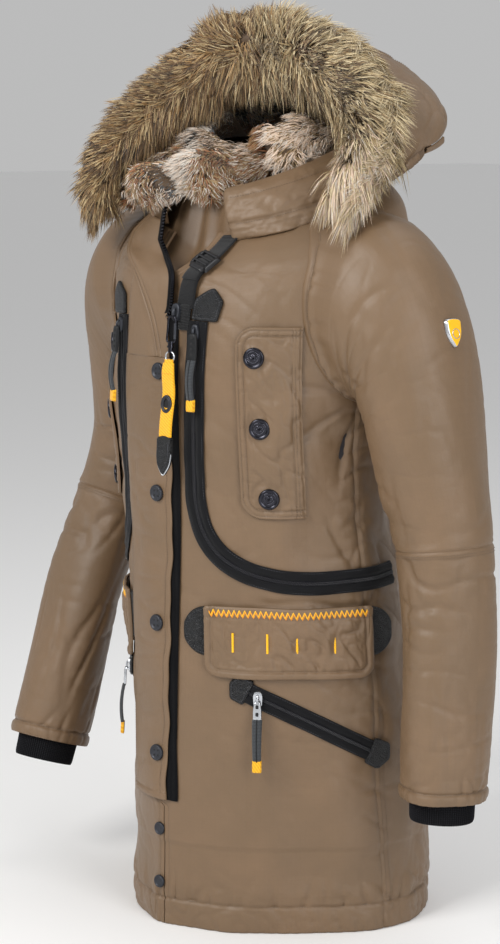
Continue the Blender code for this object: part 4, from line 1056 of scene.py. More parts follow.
def snap(mesh, at, r, low, high, holes=4, hole_r=0.0011, ring=0.42, mat="matte_metal"):
    """Cap of a press stud with a rolled rim, a shallow dish and small holes; the holes are dark discs of painted shade.
    """
    h = high - low
    prof_ = [(0.0, low), (r * 0.96, low), (r, low + h * 0.25), (r, low + h * 0.55), (r * 0.95, low + h * 0.85), (r * 0.86, low + h), (r * 0.76, low + h * 0.94),
             (r * 0.68, low + h * 0.70), (r * 0.4, low + h * 0.66), (0.0, low + h * 0.66)]
    mesh.turned(prof_, at, mat, 36)
    o, ex, ey, n = at
    for k in range(holes):
        a = math.pi / 4 + k * 2 * math.pi / max(holes, 1)
        c = o + (ex * math.cos(a) + ey * math.sin(a)) * r * ring
        # each hole is a dark disc standing just proud of the dish: painted shade, not an opening
        mesh.turned([(0.0, low + h * 0.5), (hole_r, low + h * 0.5), (hole_r, low + h * 0.70), (hole_r * 0.8, low + h * 0.71), (0.0, low + h * 0.71)], (c, ex, ey, n), "dark", 12)


for i, (s, v) in enumerate(STUDS):
    mesh = Mesh()
    snap(mesh, place(s, v, float(swell(angle(s, v), s, v))), 0.0095, 0.0040, 0.0086)
    done(mesh.object(f"placket_stud_cap_{i + 1}", "black_metal"), "placket", f"placket_stud_{i + 1}")
for i, (s, v) in enumerate(HEM_STUDS):
    mesh = Mesh()
    at = place(s + 0.006, v, float(swell(angle(s, v), s, v)))
    snap(mesh, at, 0.0075, -0.0008, 0.0026, holes=0)
    done(mesh.object(f"hem_stud_cap_{i + 1}", "black_metal"), "body", f"hem_stud_{i + 1}")

# ------------------------------------------------------------------ main zip
v = np.concatenate([np.arange(ZIP_BOTTOM, 0.834, 0.003)])[:, None]
def right_line(v):
    w = smooth(v, 0.672, 0.712)
    return right_edge(v) * (1 - w) + (along(v, LAPEL_V, LAPEL_FOLD) + 0.0085) * w


for name, edge, sign, width in (("left", left_edge, 1, 0.040), ("right", right_line, -1, 0.014)):
    v = np.arange(ZIP_BOTTOM, 0.712 if name == "left" else 0.852, 0.003)[:, None]
    high_up = (0.0052 * smooth(v, 0.690, 0.712) + 0.0230 * smooth(v, 0.800, 0.855)) * (name == "right")
    w = np.linspace(0, 1, 22)[None, :]
    if name == "left":
        reach = along(v, FREE_V, FREE_S) + 0.0090 + 0.0040 * smooth(-v, -0.22, -0.15)
        reach = reach * (1 - smooth(v, 0.66, 0.72)) + (0.040 - 0.022 * smooth(v, 0.70, 0.80)) * smooth(v, 0.66, 0.72)
    else:
        reach = 0.014 - 0.005 * smooth(v, 0.68, 0.71)
    s = edge(v) + sign * (0.0006 + w * reach)
    x = w * reach
    t = 0.0010 + 0.0006 * np.sqrt(np.clip(1 - (1 - np.clip(np.minimum(x, reach - x) / 0.0012, 0, 1)) ** 2, 0, 1)) - 0.0005 * valley(x - 0.5 * reach, 0.0012)
    t = t + 0.0006 * np.sin(v * 95) * smooth(x, 0.02, 0.04) + 0 * w + high_up
    mesh = Mesh()
    # the band and its cord use the darkened tape: black tape plus painted shade of the gap beside the placket
    mesh.slab(layer(s, v + 0 * w, t), layer(s, v + 0 * w, 0.0006 + 0 * t + high_up), v + 0 * s, s - edge(v), "tape_painted_shade")
    # moulded teeth along the edge, and the cord they sit on
    vt = np.arange(ZIP_BOTTOM + 0.004, 0.710 if name == "left" else 0.852, 0.0031) + (0.00155 if name == "right" else 0)
    up_t = (0.0052 * smooth(vt, 0.690, 0.712) + 0.0230 * smooth(vt, 0.800, 0.855)) * (name == "right")
    st = edge(vt) + sign * 0.0009
    ph = angle(st, vt)
    o = skin(ph, vt, 0.0020 + up_t + swell(ph, st, vt) * 1.0)
    n = outward(ph, vt)
    up = unit(np.gradient(o, axis=0))
    ex = unit(np.cross(up, n)) * sign
    size = [(-0.0021, -0.00085), (0.0018, -0.0006), (0.0021, 0.0), (0.0018, 0.0006), (-0.0021, 0.00085)]
    k = len(size)
    verts = np.stack([o + x_ * ex + y_ * up + z_ * n for z_ in (-0.0010, 0.0013) for x_, y_ in size], 1)
    base = np.arange(len(vt))[:, None] * (2 * k)
    quads = np.concatenate([base + np.array([[q_, (q_ + 1) % k, k + (q_ + 1) % k, k + q_]]) for q_ in range(k)] + [base + np.array([[k, k + 1, k + 3, k + 4]]), base + np.array([[4, 3, 1, 0]])])
    tris = np.concatenate([base + np.array([[k + 1, k + 2, k + 3]]), base + np.array([[3, 2, 1]])])
    first = mesh.count
    mesh.add(verts.reshape(-1, 3), quads, "black_metal")
    mesh.faces.append(tris + first)
    mesh.uvs.append(np.zeros((tris.size, 2)))
    mesh.mats.append(np.full(len(tris), mesh.slot("black_metal")))
    cord = layer(edge(vt) + sign * 0.0034, vt, 0.0017 + up_t)
    mesh.tube(cord, 0.0011, "tape_painted_shade", 8)
    done(mesh.object("zip_tape_woven_" + name, "zip_tape", flat=40), "body", "zip_tape_" + name)
    if name == "left":
        # stop box at the foot of the zip
        at = place(edge(np.array(ZIP_BOTTOM)) + 0.006, ZIP_BOTTOM + 0.006, 0.0012)
        stop_mesh = Mesh()
        box_of(at, 0.0055, 0.0070, 0.0002, 0.0030, "plastic", stop_mesh)
        done(stop_mesh.object("zip_stop", "black_plastic"), "body")

# ------------------------------------------------------------------ hood and its fur
RUFF = np.array([
    [0.190, -0.040, 0.838, 0.024], [0.200, -0.006, 0.872, 0.036], [0.176, 0.022, 0.930, 0.044], [0.130, 0.022, 0.976, 0.042],
    [0.060, 0.006, 1.008, 0.037], [-0.010, -0.014, 1.006, 0.035], [-0.080, -0.028, 0.970, 0.034], [-0.130, -0.048, 0.932, 0.033],
    [-0.165, -0.074, 0.882, 0.031], [-0.176, -0.086, 0.838, 0.030], [-0.164, -0.086, 0.812, 0.026],
])
RUFF_U = np.concatenate([[0], np.cumsum(np.linalg.norm(np.diff(RUFF[:, :3], axis=0), axis=1))])
RUFF_LONG = RUFF_U[-1]
RUFF_U = RUFF_U / RUFF_LONG


def opening(u):
    return np.stack([along(u, RUFF_U, RUFF[:, k]) for k in range(3)], -1)


def trim_radius(u):
    return along(u, RUFF_U, RUFF[:, 3])


def trim_frame(u):
    e = 1e-3
    d = unit(opening(np.minimum(u + e, 1)) - opening(np.maximum(u - e, 0)))
    out = opening(u) - np.array([0.0, 0.02, 0.84])
    out = unit(out - (out * d).sum(-1, keepdims=True) * d)
    return d, out, np.cross(d, out)


def hood_point(u, b):
    u, b = np.broadcast_arrays(np.asarray(u, float), np.asarray(b, float))
    p0 = opening(u) + np.array([0.0, 0.034, 0.0])
    arch = np.sin(math.pi * np.clip(u, 0, 1))
    phi = math.radians(84) + u * math.radians(192)
    ring = np.stack([np.sin(phi) * 0.146, 0.040 - np.cos(phi) * 0.102, 0.872 - 0.034 * np.cos(phi)], -1)
    radial = unit(np.stack([np.sin(phi), -np.cos(phi), 0 * u], -1))
    p3 = ring + radial * 0.002
    p1 = p0 + np.stack([0.02 * np.cos(math.pi * u), 0.075 + 0.015 * arch, 0.016 + 0.012 * arch], -1)
    p2 = p3 + radial * (0.049 + 0.055 * arch)[..., None] + np.stack([0 * u, 0.03 * arch, 0.010 - 0.016 * arch], -1)
    c = b[..., None]
    return (1 - c) ** 3 * p0 + 3 * c * (1 - c) ** 2 * p1 + 3 * c * c * (1 - c) * p2 + c**3 * p3


def hood_grid(u, b, t):
    p = hood_point(u, b)
    e = 1e-3
    du = hood_point(np.minimum(u + e, 1), b) - hood_point(np.maximum(u - e, 0), b)
    db = hood_point(u, np.minimum(b + e, 1)) - hood_point(u, np.maximum(b - e, 0))
    n = unit(np.cross(du, db))
    n = n * np.sign((n * (p - np.array([0.0, 0.05, 0.88]))).sum(-1, keepdims=True))
    return p + n * np.asarray(t)[..., None], n


hood_a, hood_b, hood_c = Noise(51, 0.13), Noise(52, 0.055), Noise(53, 0.026)
gu, gb = np.meshgrid(np.linspace(0, 1, 210), np.linspace(0, 1.0, 120), indexing="xy")
base = hood_point(gu, gb)
near_neck = smooth(gb, 0.55, 1.0)
seam_u = np.minimum(np.abs(gu - 0.34), np.abs(gu - 0.66)) * RUFF_LONG
t = (0.0040 * hood_a(base) * np.sin(math.pi * gb) - 0.0050 * valley(hood_b(base * [1, 1, 0.55]), 0.20) * (0.25 + near_neck)
     - 0.0020 * valley(hood_c(base), 0.3) * (0.25 + near_neck) - 0.0020 * np.exp(-((seam_u / 0.0028) ** 2)) - 0.0030 * valley(gb - 0.93, 0.012))
shell_p, shell_n = hood_grid(gu, gb, t - 0.0008)
mesh = Mesh()
mesh.grid(shell_p, gu * 0.62, gb * 0.26, "shell")
for u0 in (0.34, 0.66):
    for off in (-0.0060, 0.0060):
        bb = np.linspace(0.06, 0.92, 110)
        uu = u0 + off / RUFF_LONG + 0 * bb
        bp = hood_point(uu, bb)
        tt = 0.0040 * hood_a(bp) * np.sin(math.pi * bb) - 0.0050 * valley(hood_b(bp * [1, 1, 0.55]), 0.20) * (0.25 + smooth(bb, 0.55, 1.0)) - 0.0020 * valley(hood_c(bp), 0.3) * (0.25 + smooth(bb, 0.55, 1.0))
        sp, sn = hood_grid(uu, bb, tt - 0.0006)
        mesh.stitches(sp, sn)
obj = mesh.object("hood_cloth", "shell_fabric")
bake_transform(obj)
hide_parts("hood_shell")

# small folded tab on the wearer's left of the hood, where its side is taken in
tab_mesh = Mesh()
tu, tb = np.meshgrid(np.linspace(0.085, 0.135, 24), np.linspace(0.50, 0.74, 40), indexing="xy")
tt = 0.0020 + 0.0045 * np.exp(-(((tb - 0.60) / 0.07) ** 2)) + 0.0006 * np.sin(tb * 60)
bp = hood_point(tu, tb)
tt = tt + 0.0040 * hood_a(bp) * np.sin(math.pi * tb)
tab_mesh.slab(hood_grid(tu, tb, tt)[0], hood_grid(tu, tb, tt - 0.0022)[0], tu * 0.62, tb * 0.26, "shell")
done(tab_mesh.object("hood_tab", "shell_fabric"), "hood")

# the underfur tone is partly the fur's own root colour and partly painted shade of the depths between the hairs
FUR_TONES = {
    "cream": srgb(210, 193, 156), "straw": srgb(182, 160, 120), "tan": srgb(158, 133, 96), "gold": srgb(156, 122, 78), "brown": srgb(112, 87, 61),
    "dark": srgb(66, 51, 38), "pink": srgb(224, 200, 178), "olive": srgb(130, 118, 89), "rust": srgb(146, 96, 62), "white": srgb(216, 208, 198),
    "blue": srgb(98, 104, 108), "black": srgb(48, 40, 36), "underfur": srgb(84, 66, 48),
}
TONES = list(FUR_TONES)
for key, colour in FUR_TONES.items():
    m = Shader("fur_" + key, colour, 0.58)
    m.main.inputs["Specular IOR Level"].default_value = 0.35
    m.main.inputs["Sheen Weight"].default_value = 0.25
    m.main.inputs["Sheen Roughness"].default_value = 0.5
    MATS["fur_" + key] = m.mat
T = {k: i for i, k in enumerate(TONES)}


def hair(name, roots, paths, n, widths, tones, rng):
    """Tapered ribbons that face outwards. paths: (N, K+1, 3); widths: (N, K); tones: (N, K) indices into TONES."""
    count, k1 = paths.shape[:2]
    k = k1 - 1
    d = unit(paths[:, -1] - paths[:, 0])
    side = unit(np.cross(n, d) + 1e-6)
    lean = rng.uniform(-0.9, 0.9, count)[:, None]
    side = unit(side * np.cos(lean) + np.cross(d, side) * np.sin(lean))
    verts = np.empty((count, 2 * k + 1, 3))
    verts[:, 0:2 * k:2] = paths[:, :k] - side[:, None] * widths[..., None] / 2
    verts[:, 1:2 * k:2] = paths[:, :k] + side[:, None] * widths[..., None] / 2
    verts[:, 2 * k] = paths[:, k]
    base = np.arange(count)[:, None, None] * (2 * k + 1)
    j = np.arange(k - 1)[None, :, None] * 2
    quads = (base + j + np.array([1, 0, 2, 3])[None, None, :]).reshape(-1, 4)
    tips = (base[:, 0] + np.array([[2 * k - 1, 2 * k - 2, 2 * k]])).reshape(-1, 3)
    mesh = bpy.data.meshes.new(name)
    mesh.from_pydata(verts.reshape(-1, 3).tolist(), [], quads.tolist() + tips.tolist())
    for key in TONES:
        mesh.materials.append(MATS["fur_" + key])
    mesh.polygons.foreach_set("material_index", np.concatenate([tones[:, :k - 1].ravel(), tones[:, k - 1]]).astype(np.int32))
    mesh.shade_smooth()
    obj = bpy.data.objects.new(name, mesh)
    bpy.context.scene.collection.objects.link(obj)
    return obj


def pick(rng, weights, size):
    names, w = list(weights), np.array(list(weights.values()), float)
    return np.array([T[x] for x in names])[rng.choice(len(names), size, p=w / w.sum())]


DOWN = np.array([0.0, 0.0, -1.0])


def ruff_hair(seed=101, inner=False):
    """Long hair of the trim. With inner, only the locks that hang from its inner edge."""
    rng = np.random.default_rng(seed)
    clumps = 2300
    per = 11
    if inner:
        clumps = clumps // 2
    # more clumps where the trim is thick
    uu = np.linspace(0, 1, 400)
    weight = np.cumsum(trim_radius(uu) + 0.030 * np.exp(-((uu / 0.05) ** 2)) + 0.016 * np.exp(-(((uu - 0.47) / 0.06) ** 2)))
    cu = np.interp(rng.uniform(0, weight[-1], clumps), weight, uu)
    ca = rng.uniform(0, 2 * math.pi, clumps)
    if inner:
        cu = rng.uniform(0.13, 0.86, clumps)
        ca = rng.normal(math.pi - 0.30, 0.62, clumps)

    def root_of(u, a, sink):
        d, out, fwd = trim_frame(u)
        fwd = fwd * np.sign((fwd * np.array([0.0, -1.0, 0.0])).sum(-1, keepdims=True))
        r = trim_radius(u)
        end = np.sqrt(np.clip(np.minimum(u, 1 - u) / 0.035, 0.10, 1))
        deep = np.sin(a)
        back = np.where(deep < 0, 0.62, 0.95)
        n = unit(out * np.cos(a)[..., None] + fwd * (deep / back * 0.8)[..., None])
        p = opening(u) + (out * np.cos(a)[..., None] + fwd * (deep * back)[..., None]) * (r * sink * end)[..., None]
        around = unit(-out * np.sin(a)[..., None] + fwd * (np.cos(a))[..., None])
        return p, n, d, around, r, fwd, out

    def strand_paths(u, a, length, twist, k=4):
        p, n, d, around, r, fwd, out = root_of(u, a, 0.50)
        # the hair is combed outwards over the front of the roll, falls inwards behind it, and slopes down to both feet
        am = np.mod(a, 2 * math.pi)
        away_ = np.tanh((am - 2.45 - 0.5 * twist[:, 0]) / 0.45)
        down_along = np.tanh((u - 0.47) / 0.10)[:, None] * d
        flow = unit(around * away_[:, None] * 0.85 + down_along * 0.62 + twist * 0.42 + DOWN * 0.22)
        if inner:
            flow = unit(DOWN * 0.75 - fwd * 0.30 + down_along * 0.35 + twist * 0.45)
        foot = np.clip(1 - np.minimum(u, 1 - u) / 0.07, 0, 1)[:, None]
        flow = unit(flow * (1 - 0.5 * foot) + DOWN * 0.8 * foot)
        tau = np.linspace(0, 1, k + 1)[None, :, None]
        L = length[:, None, None]
        rise, lay = 0.78 * tau - 0.40 * tau**2, 0.22 * tau + 0.62 * tau**2
        L = L * (1 + 1.5 * foot[:, None] * (u < 0.5)[:, None, None] + 0.45 * foot[:, None] * (u > 0.5)[:, None, None])
        rise = rise * (1 - 0.35 * foot[:, None])
        if inner:
            L, rise = L * 1.5, rise * 0.75
        return p[:, None] + L * (n[:, None] * rise + flow[:, None] * lay + DOWN * 0.10 * tau**2), n

    swirl = Noise(55, 0.06)
    swirl2 = Noise(56, 0.06)
    cp = opening(cu) + np.stack([np.cos(ca), np.sin(ca), 0 * ca], -1) * 0.03
    clump_twist = unit(np.stack([swirl(cp), swirl2(cp), swirl(cp[:, [1, 2, 0]])], -1)) * np.clip(np.abs(swirl(cp))[:, None], 0.25, 1.0) + rng.normal(0, 0.25, (clumps, 3))
    clump_len = trim_radius(cu) * rng.uniform(0.80, 1.12, clumps)
    tip_path, _ = strand_paths(cu, ca, clump_len, clump_twist)

    c = np.repeat(np.arange(clumps), per)
    N = len(c)
    u = np.clip(cu[c] + rng.normal(0, 0.0055, N), 0.004, 0.996)
    a = ca[c] + rng.normal(0, 0.15, N)
    length = clump_len[c] * rng.uniform(0.72, 1.10, N)
    paths, n = strand_paths(u, a, length, clump_twist[c] + rng.normal(0, 0.22, (N, 3)))
    hold = np.where(rng.uniform(size=N) < 0.18, 0.1, 0.68)[:, None, None] * np.linspace(0, 1, 5)[None, :, None] ** 1.25
    paths = paths * (1 - hold) + (tip_path[c] + rng.normal(0, 0.0014, (N, 1, 3)) * np.linspace(0, 1, 5)[None, :, None]) * hold
    bend = rng.normal(0, 0.0012, (N, 1, 3)) * np.sin(np.linspace(0, math.pi * 1.5, 5))[None, :, None]
    paths = paths + bend
    widths = np.array([1.75, 1.60, 1.25, 0.75])[None, :] * 0.001 * rng.uniform(0.75, 1.25, (N, 1))
    # tones: brown at the root, cream in the middle, dark tips along the parting, pale at the near foot, golden on the far side
    crest = np.exp(-(((np.mod(a, 2 * math.pi) - HALF) / 0.62) ** 2))
    patch_ = np.clip(0.5 + 0.6 * Noise(57, 0.05)(opening(u) + 0.02 * np.stack([np.cos(a), np.sin(a), 0 * a], -1)), 0, 1)
    near = smooth(-u, -0.56, -0.40)
    foot = smooth(-u, -0.16, -0.03)
    tones = np.empty((N, 4), int)
    r1, r2, r3 = rng.uniform(size=N), rng.uniform(size=N), rng.uniform(size=N)
    far_root = pick(rng, {"brown": 3, "dark": 2, "gold": 2}, N)
    near_root = pick(rng, {"brown": 3, "olive": 2, "tan": 2}, N)
    tones[:, 0] = np.where(r1 < near, near_root, far_root)
    far_mid, near_mid = pick(rng, {"gold": 3, "tan": 3, "brown": 2, "straw": 1}, N), pick(rng, {"straw": 3, "tan": 2, "cream": 2, "olive": 1}, N)
    tones[:, 1] = np.where(r1 < near, near_mid, far_mid)
    far_up, near_up = pick(rng, {"gold": 2, "tan": 3, "straw": 3, "brown": 1}, N), pick(rng, {"cream": 4, "straw": 4, "tan": 1}, N)
    tones[:, 2] = np.where(r2 < near, near_up, far_up)
    tips_far, tips_near = pick(rng, {"brown": 3, "tan": 3, "gold": 2, "straw": 2}, N), pick(rng, {"cream": 4, "straw": 3, "olive": 1}, N)
    tones[:, 3] = np.where(r2 < near, tips_near, tips_far)
    dark_share = 0.10 + 0.22 * inner + 0.75 * crest * (0.4 + 0.6 * patch_) * (1 - foot)
    dark_ = r3 < dark_share
    tones[dark_, 3] = pick(rng, {"dark": 3, "brown": 2, "black": 1}, int(dark_.sum()))
    tones[dark_ & (r1 < 0.45), 2] = T["brown"]
    pale = rng.uniform(size=N) < foot * 0.9
    for col, w in ((1, {"pink": 2, "straw": 1, "cream": 2}), (2, {"pink": 3, "cream": 2}), (3, {"pink": 2, "white": 2, "cream": 2})):
        tones[pale, col] = pick(rng, w, int(pale.sum()))
    return hair("fur_ruff_inner_hair" if inner else "fur_ruff_hair", None, paths, n, widths, tones, rng)


def trim_rings(stations, sides, scale):
    d, out, fwd = trim_frame(stations)
    fwd = fwd * np.sign((fwd * np.array([0.0, -1.0, 0.0])).sum(-1, keepdims=True))
    a = np.linspace(0, 2 * math.pi, sides, endpoint=False)
    r = (trim_radius(stations) * scale)[:, None, None]
    wide, deep = np.cos(a)[None, :, None], np.sin(a)[None, :, None]
    back = np.where(deep < 0, 0.62, 0.95)
    end = np.sqrt(np.clip(np.minimum(stations, 1 - stations) / 0.035, 0.02, 1))[:, None, None]
    return opening(stations)[:, None] + r * end * (wide * out[:, None] + deep * back * fwd[:, None])


st = np.linspace(0, 1, 130)
rings = trim_rings(st, 44, 0.56)
lump = Noise(58, 0.016)
c_ = rings.mean(1, keepdims=True)
rings = c_ + (rings - c_) * (1 + 0.10 * lump(rings)[..., None])
mesh = Mesh()
# the core under the hair takes the underfur tone: partly real root colour, partly painted shade between the hairs
MATS["underfur"] = MATS["fur_underfur"]
mesh.grid(rings, st[:, None] * 0.75, np.linspace(0, 0.2, 45)[None, :], "underfur", wrap=True)
done(mesh.object("fur_ruff_core", "fur"), "hood", "fur_ruff")
done(ruff_hair(), "hood")
done(ruff_hair(102, True), "hood")

HOOD_CENTRE = np.array([0.0, 0.02, 0.90])


def bag(b):
    """How far the fur lining stands in from the shell."""
    return (0.95 - 0.11 * smooth(b, 0.05, 0.45) + 0.08 * smooth(b, 0.60, 0.95))[..., None]


def lining_hair():
    rng = np.random.default_rng(202)
    gu_, gb_ = np.meshgrid(np.linspace(0.01, 0.99, 120), np.linspace(0.0, 0.97, 80), indexing="xy")
    p = HOOD_CENTRE + (hood_point(gu_, gb_) - HOOD_CENTRE) * bag(gb_)
    lump_ = Noise(61, 0.03)
    centre_dir = unit(HOOD_CENTRE - p)
    p = p + centre_dir * (0.003 * lump_(p)[..., None])
    mesh_ = Mesh()
    # the backing takes the underfur tone: partly real root colour, partly painted shade between the hairs
    mesh_.grid(p, gu_ * 0.6, gb_ * 0.25, "underfur")
    done(mesh_.object("hood_fur_backing", "short_fur"), "hood", "hood_fur_lining")
    clumps = 3100
    per = 9
    cu = rng.uniform(0.01, 0.99, clumps)
    cb = rng.uniform(0.0, 0.97 - 0.09 * np.clip(np.sin(math.pi * cu) * 1.6, 0, 1), clumps)
    cell = rng.uniform([0.0, 0.0], [1.0, 1.0], (60, 2))
    kinds = rng.integers(0, 6, 60)
    c = np.repeat(np.arange(clumps), per)
    N = len(c)
    u = np.clip(cu[c] + rng.normal(0, 0.006, N), 0.004, 0.996)
    b = np.clip(cb[c] + rng.normal(0, 0.012, N), 0.0, 0.98)

    def surface(u_, b_):
        e = 1e-3
        q = hood_point(u_, b_)
        du = hood_point(np.minimum(u_ + e, 1), b_) - hood_point(np.maximum(u_ - e, 0), b_)
        db = hood_point(u_, b_ + e) - hood_point(u_, np.maximum(b_ - e, 0))
        n_ = unit(np.cross(du, db))
        n_ = n_ * np.sign((n_ * (HOOD_CENTRE - q)).sum(-1, keepdims=True))
        q = HOOD_CENTRE + (q - HOOD_CENTRE) * bag(b_)
        return q, n_, unit(du), unit(db)

    turn_ = Noise(62, 0.09)

    def path_of(u_, b_, length, extra, k=3):
        q, n_, du, db = surface(u_, b_)
        th = 2.2 * turn_(q)
        flow = unit(du * np.sin(th)[:, None] - db * np.cos(th)[:, None] * 0.8 + DOWN * 0.7 + extra)
        tau = np.linspace(0, 1, k + 1)[None, :, None]
        return q[:, None] + length[:, None, None] * (n_[:, None] * (0.75 * tau - 0.35 * tau**2) + flow[:, None] * (0.30 * tau + 0.50 * tau**2)), n_

    ce = rng.normal(0, 0.35, (clumps, 3))
    cl = rng.uniform(0.015, 0.022, clumps) * (1 + 0.6 * smooth(cb, 0.7, 0.95) * (np.abs(cu - 0.5) > 0.38) - 0.35 * smooth(cb, 0.72, 0.86) * (np.abs(cu - 0.5) < 0.38) + 0.8 * smooth(cu, 0.93, 0.99))
    tip, _ = path_of(cu, cb, cl, ce)
    paths, n = path_of(u, b, cl[c] * rng.uniform(0.8, 1.15, N), ce[c] + rng.normal(0, 0.35, (N, 3)))
    hold = 0.62 * np.linspace(0, 1, 4)[None, :, None] ** 1.3
    paths = paths * (1 - hold) + (tip[c] + rng.normal(0, 0.0010, (N, 1, 3))) * hold
    widths = np.array([1.7, 1.5, 1.0])[None, :] * 0.001 * rng.uniform(0.75, 1.25, (N, 1))
    # patchwork of pelts
    d = np.hypot((u[:, None] - cell[None, :, 0]) * 0.62, (b[:, None] - cell[None, :, 1]) * 0.30) + rng.normal(0, 0.004, (N, 60))
    kind = kinds[np.argmin(d, axis=1)]
    mixes = [
        ({"brown": 2, "dark": 2}, {"rust": 3, "brown": 2}, {"rust": 3, "gold": 1, "brown": 1}),
        ({"blue": 2, "dark": 2}, {"white": 2, "blue": 1, "pink": 1}, {"white": 4, "pink": 2, "blue": 1}),
        ({"dark": 2, "brown": 2}, {"brown": 3, "rust": 1}, {"brown": 2, "tan": 2, "dark": 1}),
        ({"dark": 2, "blue": 2}, {"straw": 2, "olive": 1, "blue": 1}, {"straw": 2, "blue": 2, "dark": 1}),
        ({"brown": 2, "tan": 1}, {"pink": 2, "tan": 2}, {"pink": 3, "white": 2, "tan": 1}),
        ({"dark": 2, "brown": 1}, {"rust": 2, "tan": 2}, {"tan": 2, "white": 1, "dark": 1, "rust": 1}),
    ]
    tones = np.empty((N, 3), int)
    for k, mix in enumerate(mixes):
        here = kind == k
        for col in range(3):
            tones[here, col] = pick(rng, mix[col], int(here.sum()))
    return hair("hood_lining_hair", None, paths, n, widths, tones, rng)


done(lining_hair(), "hood")


NECK_LOW, NECK_HIGH = np.array([-0.055, -0.010, 0.780]), np.array([0.055, 0.075, 0.930])


def in_neck(points, room=0.0):
    """True inside the opening that the wearer's neck takes."""
    return ((points > NECK_LOW - room) & (points < NECK_HIGH + room)).all(-1)


def neck_fur(name, seed, c0, tilt, size, clumps):
    """Short fur of the lining where it bunches over the neck opening."""
    rng = np.random.default_rng(seed)
    c0, tilt, size = np.array(c0), unit(np.array(tilt)), np.array(size)
    across, up_ = np.array([1.0, 0.0, 0.0]), unit(np.cross(np.array([1.0, 0.0, 0.0]), tilt))
    bump_a, bump_b = Noise(64, 0.050), Noise(65, 0.09)

    def at_(th, ph_):
        d = np.stack([np.sin(th) * np.cos(ph_), np.sin(th) * np.sin(ph_), np.cos(th) + 0 * ph_], -1)
        k_ = d * size
        p_ = c0 + k_[..., :1] * across + k_[..., 1:2] * tilt + k_[..., 2:] * up_
        n_ = d / size
        n_ = unit(n_[..., :1] * across + n_[..., 1:2] * tilt + n_[..., 2:] * up_)
        return p_ + n_ * (0.0085 * bump_a(p_) + 0.009 * bump_b(p_) - 0.004)[..., None], n_

    th, ph_ = np.meshgrid(np.linspace(0.02, 1.95, 40), np.linspace(0, 2 * math.pi, 90, endpoint=False), indexing="ij")
    mesh_ = Mesh()
    skin_ = at_(th, ph_)[0]
    hit = in_neck(skin_)
    closed = np.concatenate([hit, hit[:, :1]], 1)
    keep = ~(closed[:-1, :-1] | closed[1:, 1:] | closed[:-1, 1:] | closed[1:, :-1])
    # the skin takes the underfur tone: partly real root colour, partly painted shade between the hairs
    mesh_.grid(skin_, np.linspace(0, 0.2, 40)[:, None], np.linspace(0, 0.6, 91)[None, :], "underfur", wrap=True, keep=keep)
    done(mesh_.object(name, "short_fur"), "hood")
    clumps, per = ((clumps, 10))
    cth = np.arccos(rng.uniform(math.cos(1.85), 1.0, clumps))
    cph = rng.uniform(0, 2 * math.pi, clumps)
    c = np.repeat(np.arange(clumps), per)
    N = len(c)
    th, ph_ = cth[c] + rng.normal(0, 0.035, N), cph[c] + rng.normal(0, 0.035, N) / np.maximum(np.sin(cth[c]), 0.3)
    turn_ = Noise(66, 0.07)

    def path_of(th_, ph__, length, extra, k=3):
        q, n_ = at_(th_, ph__)
        swirl_ = 2.0 * turn_(q)
        flow = unit(DOWN * 0.9 + np.stack([np.sin(swirl_), -np.cos(swirl_) * 0.7 - 0.3, 0 * swirl_], -1) + extra)
        flow = unit(flow - (flow * n_).sum(-1, keepdims=True) * n_ * 0.9)
        tau = np.linspace(0, 1, k + 1)[None, :, None]
        return q[:, None] + length[:, None, None] * (n_[:, None] * (0.70 * tau - 0.30 * tau**2) + flow[:, None] * (0.30 * tau + 0.55 * tau**2)), n_

    ce = rng.normal(0, 0.30, (clumps, 3))
    cl = rng.uniform(0.015, 0.022, clumps)
    tip, _ = path_of(cth, cph, cl, ce)
    paths, n = path_of(th, ph_, cl[c] * rng.uniform(0.8, 1.15, N), ce[c] + rng.normal(0, 0.3, (N, 3)))
    hold = 0.62 * np.linspace(0, 1, 4)[None, :, None] ** 1.3
    paths = paths * (1 - hold) + (tip[c] + rng.normal(0, 0.0010, (N, 1, 3))) * hold
    widths = np.array([1.35, 1.15, 0.75])[None, :] * 0.001 * rng.uniform(0.75, 1.25, (N, 1))
    cells = unit(rng.normal(size=(26, 3)))
    kinds = rng.integers(0, 6, 26)
    d = unit(at_(th, ph_)[0] - c0)
    near = (d @ cells.T) + rng.normal(0, 0.02, (N, 26))
    kind = kinds[np.argmax(near, axis=1)]
    mixes = [
        ({"brown": 2, "rust": 1}, {"rust": 3, "brown": 2}, {"rust": 2, "gold": 1, "tan": 1}),
        ({"blue": 2, "brown": 1}, {"white": 3, "pink": 1}, {"white": 5, "pink": 2}),
        ({"brown": 2, "dark": 1}, {"brown": 2, "tan": 2}, {"tan": 3, "straw": 1}),
        ({"dark": 1, "blue": 2}, {"straw": 2, "white": 1}, {"straw": 2, "white": 2, "blue": 1}),
        ({"brown": 2, "tan": 1}, {"pink": 2, "tan": 2}, {"pink": 3, "white": 2}),
        ({"dark": 2, "brown": 1}, {"rust": 2, "tan": 2}, {"tan": 2, "white": 1, "rust": 1}),
    ]
    tones = np.empty((N, 3), int)
    for k, mix in enumerate(mixes):
        here = kind == k
        for col in range(3):
            tones[here, col] = pick(rng, mix[col], int(here.sum()))
    clear = ~in_neck(paths, 0.001).any(1)
    paths, n, widths, tones = paths[clear], n[clear], widths[clear], tones[clear]
    return hair(name + "_hair", None, paths, n, widths, tones, rng)


done(neck_fur("hood_fur_fold", 303, (-0.060, -0.008, 0.864), (0.0, 1.0, 0.26), (0.108, 0.090, 0.043), 2700), "hood")
done(neck_fur("hood_fur_fold_back", 304, (0.022, 0.052, 0.893), (0.0, 1.0, 0.20), (0.080, 0.072, 0.036), 1500), "hood")
done(neck_fur("hood_fur_fold_far", 305, (-0.152, -0.054, 0.826), (0.0, 1.0, 0.1), (0.020, 0.024, 0.026), 240), "hood")

